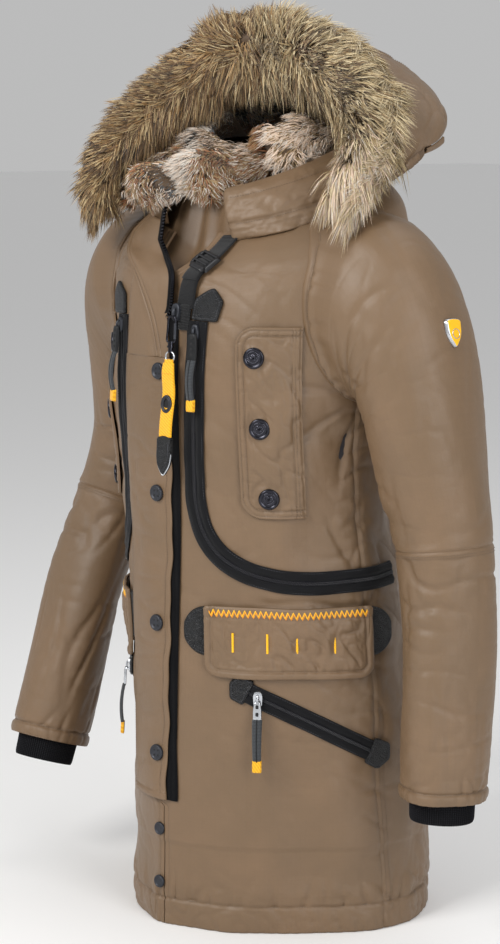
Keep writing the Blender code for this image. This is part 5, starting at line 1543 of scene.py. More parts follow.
# ------------------------------------------------------------------ sleeves
SLEEVE_LEFT = np.array([
    [0.1860, 0.010, 0.7150, 0.1080, 0.0780, 0.0], [0.2120, 0.012, 0.7070, 0.1030, 0.0780, 11.2], [0.2328, 0.017, 0.6850, 0.0936, 0.0765, 24.8],
    [0.2460, 0.022, 0.6535, 0.0799, 0.0750, 39.7], [0.2540, 0.027, 0.6185, 0.0668, 0.0725, 56.9], [0.2605, 0.031, 0.5775, 0.0600, 0.0680, 73.0],
    [0.2685, 0.035, 0.5250, 0.0568, 0.0620, 86.0], [0.2800, 0.040, 0.4550, 0.0530, 0.0550, 90.0], [0.2860, 0.040, 0.3600, 0.0505, 0.0525, 90.0],
    [0.2870, 0.037, 0.2700, 0.0490, 0.0500, 90.0], [0.2860, 0.035, 0.1780, 0.0480, 0.0480, 90.0],
])
SLEEVE_RIGHT = SLEEVE_LEFT * [-1, 1, 1, 1, 1, 1]
SLEEVE_RIGHT[:, 1] = [0.010, 0.012, 0.019, 0.027, 0.035, 0.040, 0.038, 0.018, -0.026, -0.060, -0.092]
SLEEVE_RIGHT[7:, 2] = [0.450, 0.350, 0.255, 0.155]
ELBOW = 7.0


def side_x(y, z):
    v = np.array(z, float)
    for _ in range(30):
        yc = along(v, PROFILE[:, 0], PROFILE[:, 2])
        v = 0.5 * v + 0.5 * np.clip(z - TILT * smooth(v, TILT_FROM, TILT_TO) * (y - yc), 0, NECK)
    a, yc, bf, bb, nf, nb = [along(v, PROFILE[:, 0], PROFILE[:, k]) for k in range(1, 7)]
    n = np.where(y < yc, nf, nb)
    d = np.clip(np.abs(y - yc) / np.where(y < yc, bf, bb), 0, 1)
    return a * (1 - d**n) ** (1 / n)


def sleeve_frame(rows, k):
    stations = np.arange(len(rows), dtype=float)
    at = lambda q, c: along(q, stations, rows[:, c])
    centre = np.stack([at(k, c) for c in range(3)], -1)
    e = 0.05
    lo, hi = np.maximum(k - e, 0), np.minimum(k + e, len(rows) - 1)
    d = unit(np.stack([at(hi, c) - at(lo, c) for c in range(3)], -1))
    side = np.sign(rows[-1, 0])
    tilt = np.radians(at(k, 5))
    n = np.stack([side * np.cos(tilt), 0 * k, -np.sin(tilt)], -1)
    w = smooth(k, 4.0, 7.0)[..., None]
    n = unit(n * (1 - w) + d * w)
    back_ = np.array([0.0, 1.0, 0.0])
    e2 = unit(back_ - (n * back_).sum(-1, keepdims=True) * n)
    e1 = np.cross(n, e2) * side
    return centre, n, e1, e2, at(k, 3), at(k, 4)


def sleeve_rings(rows, k, a, t):
    k, a, t = np.broadcast_arrays(np.asarray(k, float), np.asarray(a, float), np.asarray(t, float))
    c, n, e1, e2, r1, r2 = sleeve_frame(rows, k)
    p = c + e1 * ((r1 + t) * np.cos(a))[..., None] + e2 * ((r2 + t) * np.sin(a))[..., None]
    side = np.sign(rows[-1, 0])
    x = side * (side_x(p[..., 1], p[..., 2]) + 0.0030)
    w = (1 - smooth(k, 0.0, 0.85))
    mixed = side * (p[..., 0] * (1 - w) + x * w)
    p[..., 0] = side * np.where(k < 1.6, np.maximum(mixed, np.abs(x)), mixed)
    return p


STATION_AT = {}
for name, rows in (("left", SLEEVE_LEFT), ("right", SLEEVE_RIGHT)):
    side = 1 if name == "left" else -1
    fine_k = np.linspace(0, 10, 400)
    cen = np.stack([along(fine_k, np.arange(11.0), rows[:, c]) for c in range(3)], -1)
    run = np.concatenate([[0], np.cumsum(np.linalg.norm(np.diff(cen, axis=0), axis=1))])
    n1, n2, n3, n4 = Noise(71 + side, 0.10), Noise(75 + side, 0.055), Noise(79 + side, 0.028), Noise(83 + side, 0.15)
    HEM_K = 9.86

    def ruffles(k, a, rows=rows, side=side, n1=n1, n2=n2, n3=n3, n4=n4, run=run, fine_k=fine_k):
        """Sleeve relief: long soft folds, creases at the underarm and the elbow, puckers at the hem."""
        k, a = np.broadcast_arrays(np.asarray(k, float), np.asarray(a, float))
        L = np.interp(k, fine_k, run)
        q = np.stack([np.cos(a) * 0.055, np.sin(a) * 0.055, L + 0 * a], -1)
        strength = np.clip(0.5 + 0.7 * n4(q), 0.05, 1.2)
        inner = np.exp(-((np.abs((a % (2 * math.pi)) - math.pi) / 1.2) ** 2))
        front = np.exp(-((np.abs(((a + HALF + math.pi) % (2 * math.pi)) - math.pi) / 1.1) ** 2))
        elbow = np.exp(-(((k - 7.0) / 1.1) ** 2))
        root = smooth(k, 0.12, 0.9)
        t = 0.0042 * n1(q * [1, 1, 0.35])
        t = t - 0.0044 * valley(n2(q * [0.45, 0.45, 1.1]), 0.28) * strength * (0.25 + 0.75 * elbow * (0.4 + 0.6 * front) + 0.6 * inner * smooth(-k, -5.5, -3.0))
        t = t - 0.0026 * valley(n2(q * [1.3, 1.3, 0.35]), 0.30) * strength * (0.4 + 0.8 * inner)
        t = t - 0.0005 * valley(n3(q * [0.7, 0.7, 1.0]), 0.36) * (0.4 + 0.6 * strength)
        t = t * root * (1 - 0.8 * np.exp(-(((k - ELBOW) / 0.10) ** 2)))
        # pull of the armhole seam, elbow seam and hem stitching
        t = t - 0.0024 * np.exp(-(((k - 0.16) / 0.05) ** 2)) + 0.0016 * np.exp(-(((k - 0.32) / 0.10) ** 2))
        t = t - 0.0026 * valley(n3(np.stack([np.cos(a) * 0.09, np.sin(a) * 0.09, 0.2 * L], -1)), 0.35) * np.exp(-(((k - 0.45) / 0.32) ** 2)) * (k > 0.2)
        t = t - 0.0016 * np.exp(-(((k - ELBOW) / 0.020) ** 2))
        t = t - 0.0022 * np.exp(-(((k - HEM_K) / 0.020) ** 2))
        t = t - 0.0026 * valley(n3(np.stack([np.cos(a) * 0.055, np.sin(a) * 0.055, 0.35 * L], -1)), 0.34) * np.exp(-((np.maximum(HEM_K - k, 0) / 0.22) ** 2)) * (k < HEM_K)
        t = t - 0.0011 * valley(n3(np.stack([np.cos(a) * 0.060, np.sin(a) * 0.060, 0.3 * L + 0.03 * np.sin(a * 3)], -1)), 0.34) * (k > HEM_K)
        return t + 0.0010 * (k > HEM_K) * np.sin(np.clip((k - HEM_K) / (10 - HEM_K), 0, 1) * math.pi)

    a = np.linspace(0, 2 * math.pi, 132, endpoint=False)[None, :]
    a_uv = np.linspace(0, 2 * math.pi, 133)[None, :] * 0.058
    # upper sleeve, with its first rings inside the body so that the armhole closes
    k = np.concatenate([[0.0], np.linspace(0, 0.5, 20), np.linspace(0.53, 6.86, 150), np.linspace(6.88, ELBOW, 9)])[:, None]
    t = ruffles(k, a)
    t[0] = -0.004
    p = sleeve_rings(rows, k, a, t)
    p[0, :, 0] -= side * 0.016
    p[1, :, 0] -= side * 0.004
    mesh = Mesh()
    L = np.interp(k, fine_k, run)
    mesh.grid(p, a_uv, L, "shell", wrap=True)
    sa = np.linspace(0, 2 * math.pi, 150)
    for kk in (0.30,):
        pp = sleeve_rings(rows, kk + 0 * sa, sa, ruffles(kk + 0 * sa, sa) + 0.0002)
        nn = unit(sleeve_rings(rows, kk + 0 * sa, sa, ruffles(kk + 0 * sa, sa) + 0.002) - pp)
        mesh.stitches(pp, nn)
    obj = mesh.object("sleeve_upper_cloth_" + name, "shell_fabric")
    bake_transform(obj)
    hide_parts("sleeve_upper_" + name)
    # lower sleeve from the elbow seam to the turned hem
    k = np.concatenate([[6.90, 6.95], np.linspace(ELBOW, 7.12, 9), np.linspace(7.15, 9.80, 90), np.linspace(9.815, 10, 16), [10.0, 9.99, 9.93, 9.80, 9.6]])[:, None]
    t = ruffles(np.minimum(k, 10), a)
    t[0], t[1] = -0.0055, -0.0045
    t[-5:] = np.array([-0.0022, -0.0046, -0.0058, -0.0064, -0.0070])[:, None]
    p = sleeve_rings(rows, k, a, t)
    mesh = Mesh()
    L = np.interp(k, fine_k, run) + 0 * k
    mesh.grid(p, a_uv, L, "shell", wrap=True)
    sa = np.linspace(0, 2 * math.pi, 150)
    for kk in (ELBOW + 0.055, ELBOW + 0.085, HEM_K):
        pp = sleeve_rings(rows, kk + 0 * sa, sa, ruffles(kk + 0 * sa, sa) + 0.0002)
        nn = unit(sleeve_rings(rows, kk + 0 * sa, sa, ruffles(kk + 0 * sa, sa) + 0.002) - pp)
        mesh.stitches(pp, nn)
    obj = mesh.object("sleeve_lower_cloth_" + name, "shell_fabric")
    c, n, e1, e2, r1, r2 = sleeve_frame(rows, np.array(ELBOW))
    c2 = sleeve_frame(rows, np.array(8.15))[0]
    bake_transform(obj)
    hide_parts("sleeve_lower_" + name)
    # ribbed knit cuff
    c, n, e1, e2, r1, r2 = sleeve_frame(rows, np.array(10.0))
    shape = evenly(np.array([(-0.046, 0.0420), (-0.030, 0.0388), (-0.006, 0.0366), (0.010, 0.0358), (0.022, 0.0354), (0.0262, 0.0346), (0.0270, 0.0332), (0.0255, 0.0318), (0.018, 0.0312), (-0.02, 0.0330)]), 0.0022)
    aa = np.linspace(0, 2 * math.pi, 84 * 5, endpoint=False)[None, :]
    rib = 0.00055 * np.cos(84 * aa) * (1 - 0.0 * aa)
    swellc = 0.0010 * np.sin(3 * aa + 1)
    rr = shape[:, 1:2] + rib + swellc
    p = c + shape[:, :1, None] * n + rr[..., None] * (np.cos(aa)[..., None] * e1 + np.sin(aa)[..., None] * e2)
    mesh = Mesh()
    mesh.grid(p, np.linspace(0, 2 * math.pi, 84 * 5 + 1)[None, :] * 0.036, shape[:, :1], "knit", wrap=True)
    done(mesh.object("knit_cuff_ribbed_" + name, "knit"), "sleeve_lower_" + name, "knit_cuff_" + name)
    if name == "left":
        # enamel badge: metal rim, domed face, plain
        k0, a0 = 3.4, math.radians(2)
        p0 = sleeve_rings(rows, np.array(k0), np.array(a0), 0.0)
        pa, pk = sleeve_rings(rows, np.array(k0), np.array(a0 + 0.02), 0.0), sleeve_rings(rows, np.array(k0 + 0.02), np.array(a0), 0.0)
        ex, up = unit(pa - p0), unit(p0 - pk)
        bn = unit(np.cross(ex, up))
        bn = bn * np.sign(bn[0])
        up = unit(np.cross(bn, ex))
        lift_ = float(ruffles(np.array(k0), np.array(a0)))
        shield = corners([(-0.0112, 0.0150), (0, 0.0168), (0.0112, 0.0150), (0.0106, -0.0035), (0.0, -0.0172), (-0.0106, -0.0035)], [0.004, 0.008, 0.004, 0.010, 0.004, 0.010], 7)
        shield = evenly(shield, 0.0010, True)
        at = frame_at((p0, ex, up, bn))
        mesh = Mesh()
        mesh.pillow(shield, at, min(0.0004, lift_), 0.0034, "steel", roll=0.0012, rings=8)
        mesh.pillow(inset(shield, 0.0014), at, 0.0030, 0.0038, "enamel", roll=0.0007, rings=9, dome=0.0006, under=False)
        for r_ in (0.0052,):
            ring_ = np.array([(r_ * math.cos(q_), -0.001 + r_ * math.sin(q_)) for q_ in np.linspace(0, 2 * math.pi, 40, endpoint=False)])
            mesh.tube(at(ring_[:, 0], ring_[:, 1], 0.0044 + 0 * ring_[:, 0]), 0.00045, "steel", 6, closed=True, ref=bn)
        done(mesh.object("badge_enamel", "webbing_yellow", flat=50), "sleeve_upper_left", "badge")
        # folded shoulder tab next to the armhole seam
        th = Mesh()
        tv, ts = np.meshgrid(np.linspace(0.772, 0.797, 26), np.linspace(0.0, 0.0105, 14), indexing="ij")
        s0 = 0.228
        tt = 0.0022 + 0.0016 * np.sin(np.clip(ts / 0.0105, 0, 1) * math.pi) ** 0.5
        th.slab(layer(s0 + ts, tv, tt), layer(s0 + ts, tv, 0 * tt - 0.001), ts, tv, "shell")
        for edge_v in (0.7745, 0.7945):
            ss = np.linspace(s0 + 0.001, s0 + 0.0095, 5)
            th.stitches(layer(ss, edge_v + 0 * ss, 0.0038), layer_normal(ss, edge_v + 0 * ss))
        done(th.object("shoulder_tab", "shell_fabric"), "body")


# ------------------------------------------------------------------ main slider, hook, strap
def swelling(s, v):
    return float(swell(angle(s, v), np.asarray(s, float), np.asarray(v, float)))


SLIDER_FROM = (0.0420, 0.706)
o, ex, ey, n = place(*map(np.array, SLIDER_FROM))
at = frame_at((o, ex, ey, n))
mesh = Mesh()
body_out = evenly(corners([(-0.0048, -0.0095), (0.0048, -0.0095), (0.0062, 0.004), (0.0040, 0.0105), (-0.0040, 0.0105), (-0.0062, 0.004)], 0.003, 5), 0.0008, True)
mesh.pillow(body_out, at, 0.0056, 0.0088, "matte_metal", roll=0.0009, rings=6)
mesh.pillow(body_out * 0.96, at, 0.0022, 0.0040, "matte_metal", roll=0.0006, rings=5)
mesh.tube(at(np.array([0, 0]), np.array([0.004, 0.004]), np.array([0.0036, 0.0062])), 0.0022, "matte_metal", 10)
arch_t = np.linspace(0, math.pi, 14)
mesh.tube(at(0 * arch_t, 0.0055 * np.cos(arch_t) - 0.0005, 0.0084 + 0.0034 * np.sin(arch_t)), 0.0012, "matte_metal", 8, flat=1.5, ref=ex)
done(mesh.object("main_slider_body", "black_metal", flat=50), "main_slider", "main_slider")

HOOK_PIVOT = o - ey * 0.0060 + n * 0.0120
at = frame_at((HOOK_PIVOT, ex, ey, n))
mesh = Mesh()
# rectangular wire loop, swivel barrel, and the small ring that holds the strap
loop = evenly(corners([(-0.0050, 0.0012), (0.0050, 0.0012), (0.0062, -0.0270), (-0.0062, -0.0270)], 0.0036, 6), 0.0009, True)
mesh.tube(at(loop[:, 0], loop[:, 1], 0.0004 + 0 * loop[:, 0]), 0.00135, "black_metal", 10, closed=True, ref=n)
gate = np.stack([np.linspace(0.0052, 0.0058, 10), np.linspace(-0.006, -0.0235, 10)], -1)
mesh.tube(at(gate[:, 0], gate[:, 1], 0.0006 + 0 * gate[:, 0]), 0.0017, "matte_metal", 10, ref=n)
for y0, y1, r0 in ((-0.0262, -0.0312, 0.0034), (-0.0312, -0.0330, 0.0042), (-0.0330, -0.0385, 0.0027)):
    yy = np.linspace(y0, y1, 5)
    mesh.tube(at(0 * yy, yy, 0.0004 + 0 * yy), r0, "black_metal", 16, ref=n)
ring_a = np.linspace(0, 2 * math.pi, 36, endpoint=False)
mesh.tube(at(0.0062 * np.sin(ring_a), -0.0432 + 0.0058 * np.cos(ring_a), 0.0006 + 0 * ring_a), 0.0011, "steel", 10, closed=True, ref=n)
done(mesh.object("snap_hook_wire", "black_metal", flat=50), "snap_hook", "snap_hook")

STRAP_PIVOT = HOOK_PIVOT - ey * 0.0500
at = frame_at((STRAP_PIVOT, ex, ey, n))
mesh = Mesh()


def band(mesh, at, ys, half, low, high, mat, cols=15, crown=0.0, wave=None, u0=0.0):
    """Strap along y with half widths, soft edges and a closed back."""
    w_ = np.linspace(-1, 1, cols)[None, :]
    half = np.broadcast_to(half, ys.shape)[:, None]
    x = w_ * half
    edge_ = np.sqrt(np.clip(1 - np.abs(w_) ** 8, 0, 1))
    t = low + (high - low) * (0.25 + 0.75 * edge_) + crown * (1 - w_**2)
    if wave is not None:
        t = t + wave(ys)[:, None]
    y = ys[:, None] + 0 * x
    lowt = low + 0 * t + (wave(ys)[:, None] if wave is not None else 0)
    mesh.slab(at(x, y, t), at(x, y, lowt), ys[:, None] + u0 + 0 * x, x, mat)


ys = np.linspace(0.0000, -0.0940, 110)
wave_ = lambda y: 0.0014 * np.sin(y * 70 + 0.4) + 0.0030 * np.exp(-(((y + 0.012) / 0.016) ** 2))
half = 0.0088 - 0.0012 * np.exp(-((ys / 0.006) ** 2))
band(mesh, at, ys, half, -0.0008, 0.0022, "yellow", 19, wave=wave_)
# folded loop at the ring
yy = np.linspace(-0.003, 0.0040, 8)
band(mesh, at, yy, 0.0062, 0.0012, 0.0038, "yellow", 13)
# row of stitching that closes the loop
xs = np.linspace(-0.0075, 0.0075, 12)
mesh.stitches(at(xs, -0.0120 + 0 * xs, 0.0022 + wave_(-0.0120 + 0 * xs) + 0.0001), np.broadcast_to(n, (12, 3)), "orange_thread", wide=0.0008)
# oval grommet
gy = -0.0455
gt = float(wave_(np.array(gy)))
ga = np.linspace(0, 2 * math.pi, 48, endpoint=False)
for r_x, r_y, h_, rr in ((0.0064, 0.0088, 0.0026, 0.0014), (0.0046, 0.0070, 0.0030, 0.0010)):
    mesh.tube(at(r_x * np.cos(ga), gy + r_y * np.sin(ga), h_ + gt + 0 * ga), rr, "matte_metal", 10, closed=True, ref=n)
# the grommet's hole is filled with a dark oval: painted shade in place of an opening
oval = np.stack([0.0042 * np.cos(ga), gy + 0.0066 * np.sin(ga)], -1)
mesh.pillow(oval, lambda x, y, t: at(x, y, t + gt), 0.0010, 0.0026, "dark", roll=0.0008, rings=5)
# leather end, pointed, with stitching and a bright edge
tip = [(-0.0100, -0.082), (-0.0102, -0.102), (-0.0085, -0.114), (0, -0.1255), (0.0085, -0.114), (0.0102, -0.102), (0.0100, -0.082), (0.0, -0.079)]
tip_out = evenly(corners(tip, [0.002, 0.006, 0.006, 0.003, 0.006, 0.006, 0.002, 0.008], 6), 0.0009, True)
lift_t = lambda y: 0.0012 * np.sin(np.maximum(y, -0.094) * 70 + 0.4)
at_tip = lambda x, y, t: at(x, y, t + lift_t(y))
mesh.pillow(tip_out, at_tip, -0.0016, 0.0038, "leather", roll=0.0012, rings=10, dome=0.0008)
edge_path = inset(tip_out, 0.0022)
use = edge_path[:, 1] < -0.084
ep = edge_path[use]
ep = ep[np.argsort(np.arctan2(ep[:, 1] + 0.100, ep[:, 0]))]
lower = edge_path[(edge_path[:, 1] < -0.086)]
lower = lower[np.argsort(lower[:, 0])]
mesh.stitches(at_tip(lower[:, 0], lower[:, 1], 0.0041 + 0 * lower[:, 0]), np.broadcast_to(n, (len(lower), 3)), "black_thread")
rim_path = tip_out[tip_out[:, 1] < -0.100]
rim_path = rim_path[np.argsort(rim_path[:, 0])]
mesh.tube(at_tip(rim_path[:, 0], rim_path[:, 1], 0.0012 + 0 * rim_path[:, 0]), 0.0009, "steel", 8, ref=n)
done(mesh.object("pull_strap_webbing", "webbing_yellow", flat=60), "pull_strap", "pull_strap")

# ------------------------------------------------------------------ carry strap and its buckle
centre = line([(0.066, 0.834), (0.063, 0.800), (0.055, 0.750), (0.051, 0.712)], 90)
d2 = unit(np.gradient(centre, axis=0))
nrm2 = np.stack([d2[:, 1], -d2[:, 0]], -1)
w_ = np.linspace(-0.5, 0.5, 19)
gs = centre[:, None, 0] + nrm2[:, None, 0] * w_[None] * 0.024
gv = centre[:, None, 1] + nrm2[:, None, 1] * w_[None] * 0.024
run_ = np.linspace(0, 1, 90)[:, None]
edge_ = np.sqrt(np.clip(1 - np.abs(2 * w_[None]) ** 8, 0, 1))
bow = 0.0026 + 0.0016 * np.sin(run_ * math.pi * 2.1) ** 2 - 0.0006
t = bow + 0.0016 * edge_
mesh = Mesh()
mesh.slab(layer(gs, gv, t), layer(gs, gv, bow + 0 * t), run_ * 0.125 + 0 * gs, w_[None] * 0.024 + 0 * gs, "black_web")
# second layer, folded back through the buckle, and the ribbed loop at its end
k0 = 30
t2 = t[k0:k0 + 34] + 0.0022
mesh.slab(layer(gs[k0:k0 + 34], gv[k0:k0 + 34], t2), layer(gs[k0:k0 + 34], gv[k0:k0 + 34], t2 - 0.0014), run_[k0:k0 + 34] * 0.125 + 0 * t2, w_[None] * 0.024 + 0 * t2, "black_web")
for side_w in (-0.43, 0.43):
    ps = centre[:, 0] + nrm2[:, 0] * side_w * 0.024
    pv = centre[:, 1] + nrm2[:, 1] * side_w * 0.024
    mesh.stitches(layer(ps[:29], pv[:29], bow[:29, 0] + 0.0017), layer_normal(ps[:29], pv[:29]), "black_thread")
low_c = line([(0.0512, 0.716), (0.0508, 0.700), (0.0500, 0.686)], 30)
for j in range(9):
    vv = 0.7135 - j * 0.0031
    sc = float(np.interp(vv, low_c[::-1, 1], low_c[::-1, 0]))
    xs = np.linspace(-0.0085, 0.0085, 9) * (1 - 0.02 * j)
    mesh.tube(layer(sc + xs, vv + 0 * xs, 0.0030 - 0.0002 * j + 0.0008 * (1 - (xs / 0.009) ** 2)), 0.00165, "black_web", 10, flat=0.9, ref=layer_normal(np.array(sc), np.array(vv)))
done(mesh.object("carry_strap_webbing", "webbing_black", flat=60), "body", "carry_strap")

o, ex, ey, n = place(np.array(0.0610), np.array(0.790))
d_ = unit(on(np.array(0.0630), np.array(0.800), 0.0) - on(np.array(0.0590), np.array(0.776), 0.0))
ey = unit(d_ - (d_ * n).sum() * n)
ex = np.cross(ey, n)
o = o + n * swelling(0.061, 0.790)
at = frame_at((o, ex, ey, n))
mesh = Mesh()
for x0 in (-0.0142, 0.0142):
    rail = evenly(corners([(x0 - 0.0021, -0.0118), (x0 + 0.0021, -0.0118), (x0 + 0.0021, 0.0118), (x0 - 0.0021, 0.0118)], 0.0018, 5), 0.0008, True)
    mesh.pillow(rail, at, 0.0024, 0.0076, "plastic", roll=0.0012, rings=6)
for y0, r_, h_ in ((0.0100, 0.0019, 0.0056), (0.0022, 0.0017, 0.0070), (-0.0048, 0.0016, 0.0074), (-0.0100, 0.0020, 0.0062)):
    xx = np.linspace(-0.0135, 0.0135, 7)
    mesh.tube(at(xx, y0 + 0 * xx, h_ + 0 * xx), r_, "plastic", 10, flat=0.8, ref=n)
lip = evenly(corners([(-0.0125, -0.0150), (0.0125, -0.0150), (0.0135, -0.0098), (-0.0135, -0.0098)], 0.0012, 4), 0.0009, True)
mesh.pillow(lip, at, 0.0050, 0.0078, "plastic", roll=0.0008, rings=5)
done(mesh.object("strap_buckle_moulded", "black_plastic", flat=50), "strap_buckle", "strap_buckle")


# ------------------------------------------------------------------ the two sides
def lifted(r, x, a, b):
    d = np.clip(np.maximum(a + r - x, x - (b - r)), 0, r)
    return r - np.sqrt(np.maximum(r * r - d * d, 0))


def rounded(span, levels, r_top, r_low, cols, rows, left_only=False, right_w=None):
    s0, s1 = span
    c = s0 + (s1 - s0) * cols
    far = s1 + (1.0 if left_only else 0.0)
    top = levels[1] - lifted(r_top, c, s0, far)
    low = levels[0] + lifted(r_low, c, s0, far)
    w = rows[:, None]
    return np.broadcast_to(c, (len(rows), len(c))), top * (1 - w) + low * w


def to_edge(s, v, outline):
    """Distance of each grid point to a closed outline given as dense points."""
    d = np.full(np.shape(s), 9.0)
    for a, b in outline:
        d = np.minimum(d, (s - a) ** 2 + (v - b) ** 2)
    return np.sqrt(d)


def dense(n_mid, lo=0.08, n_edge=9):
    """0 to 1, closer together near both ends."""
    e_ = np.linspace(0, lo, n_edge)
    return np.concatenate([e_, np.linspace(lo, 1 - lo, n_mid)[1:-1], 1 - e_[::-1]])


def outline_of(gs, gv):
    return np.concatenate([np.stack([gs[0], gv[0]], -1), np.stack([gs[1:, -1], gv[1:, -1]], -1), np.stack([gs[-1, ::-1], gv[-1, ::-1]], -1), np.stack([gs[::-1, 0], gv[::-1, 0]], -1)])


def band_grid(centre, width, cols):
    d_ = unit(np.gradient(centre, axis=0))
    s_ = np.stack([d_[:, 1], -d_[:, 0]], -1)
    w_ = np.linspace(-0.5, 0.5, cols)
    g = centre[:, None, :] + s_[:, None, :] * (w_ * width)[None, :, None]
    run_ = np.concatenate([[0], np.cumsum(np.linalg.norm(np.diff(centre, axis=0), axis=1))])
    return g[..., 0], g[..., 1], run_[:, None] + 0 * g[..., 0], (w_ * width)[None, :] + 0 * g[..., 0]


def zip_band(mesh, centre, width, side, cols=23, coil_w=0.0052, fold=0.0011, base=0.0006):
    """Two woven tapes with a coil between them; the outer edges stand up a little from the stitching."""
    gs, gv, run_, x = band_grid(centre, width, cols)
    q = np.abs(x) / (width / 2)
    t = base + 0.0009 + fold * np.exp(-(((q - 0.58) / 0.26) ** 2)) + 0.0004 * np.sin(run_ * 130 + x * 60)
    t = t - 0.0005 * np.exp(-(((q - 0.86) / 0.05) ** 2)) - 0.0005 * np.exp(-((x / (coil_w * 0.55)) ** 2))
    t = t * 1.0
    t[:, 0] -= 0.0005
    t[:, -1] -= 0.0005
    mesh.slab(layer(side * gs, gv, t), layer(side * gs, gv, base - 0.0006 + 0 * t), run_, x, "tape")
    gs, gv, run_, x = band_grid(centre, coil_w, 9)
    t = base + 0.0006 + 0.0013 * np.sqrt(np.clip(1 - (2 * x / coil_w) ** 2, 0, 1)) - 0.0005 * np.exp(-((x / 0.0005) ** 2))
    mesh.slab(layer(side * gs, gv, t), layer(side * gs, gv, base + 0 * t), run_, x, "coil")
    for off in (-0.43, 0.43):
        d_ = unit(np.gradient(centre, axis=0))
        s_ = np.stack([d_[:, 1], -d_[:, 0]], -1)
        pth = centre + s_ * off * width
        mesh.stitches(layer(side * pth[:, 0], pth[:, 1], base + 0.0009), layer_normal(side * pth[:, 0], pth[:, 1]), "black_thread")


def leather_patch(mesh, outline_pts, side, low, high, radius=0.003, edge=0.0030):
    out = evenly(corners(outline_pts, radius, 5), 0.0011, True)
    mesh.pillow(out, side_layer(side), low, high, "leather", roll=0.0009, rings=11, dome=0.0004)
    path = inset(out, edge)
    path = np.concatenate([path, path[:1]])
    mesh.stitches(layer(side * path[:, 0], path[:, 1], high + 0.0002 + 0 * path[:, 0]), layer_normal(side * path[:, 0], path[:, 1]), "black_thread", pitch=0.0026, wide=0.0008)


field_a, field_b, field_c = Noise(91, 0.075), Noise(92, 0.036), Noise(93, 0.018)

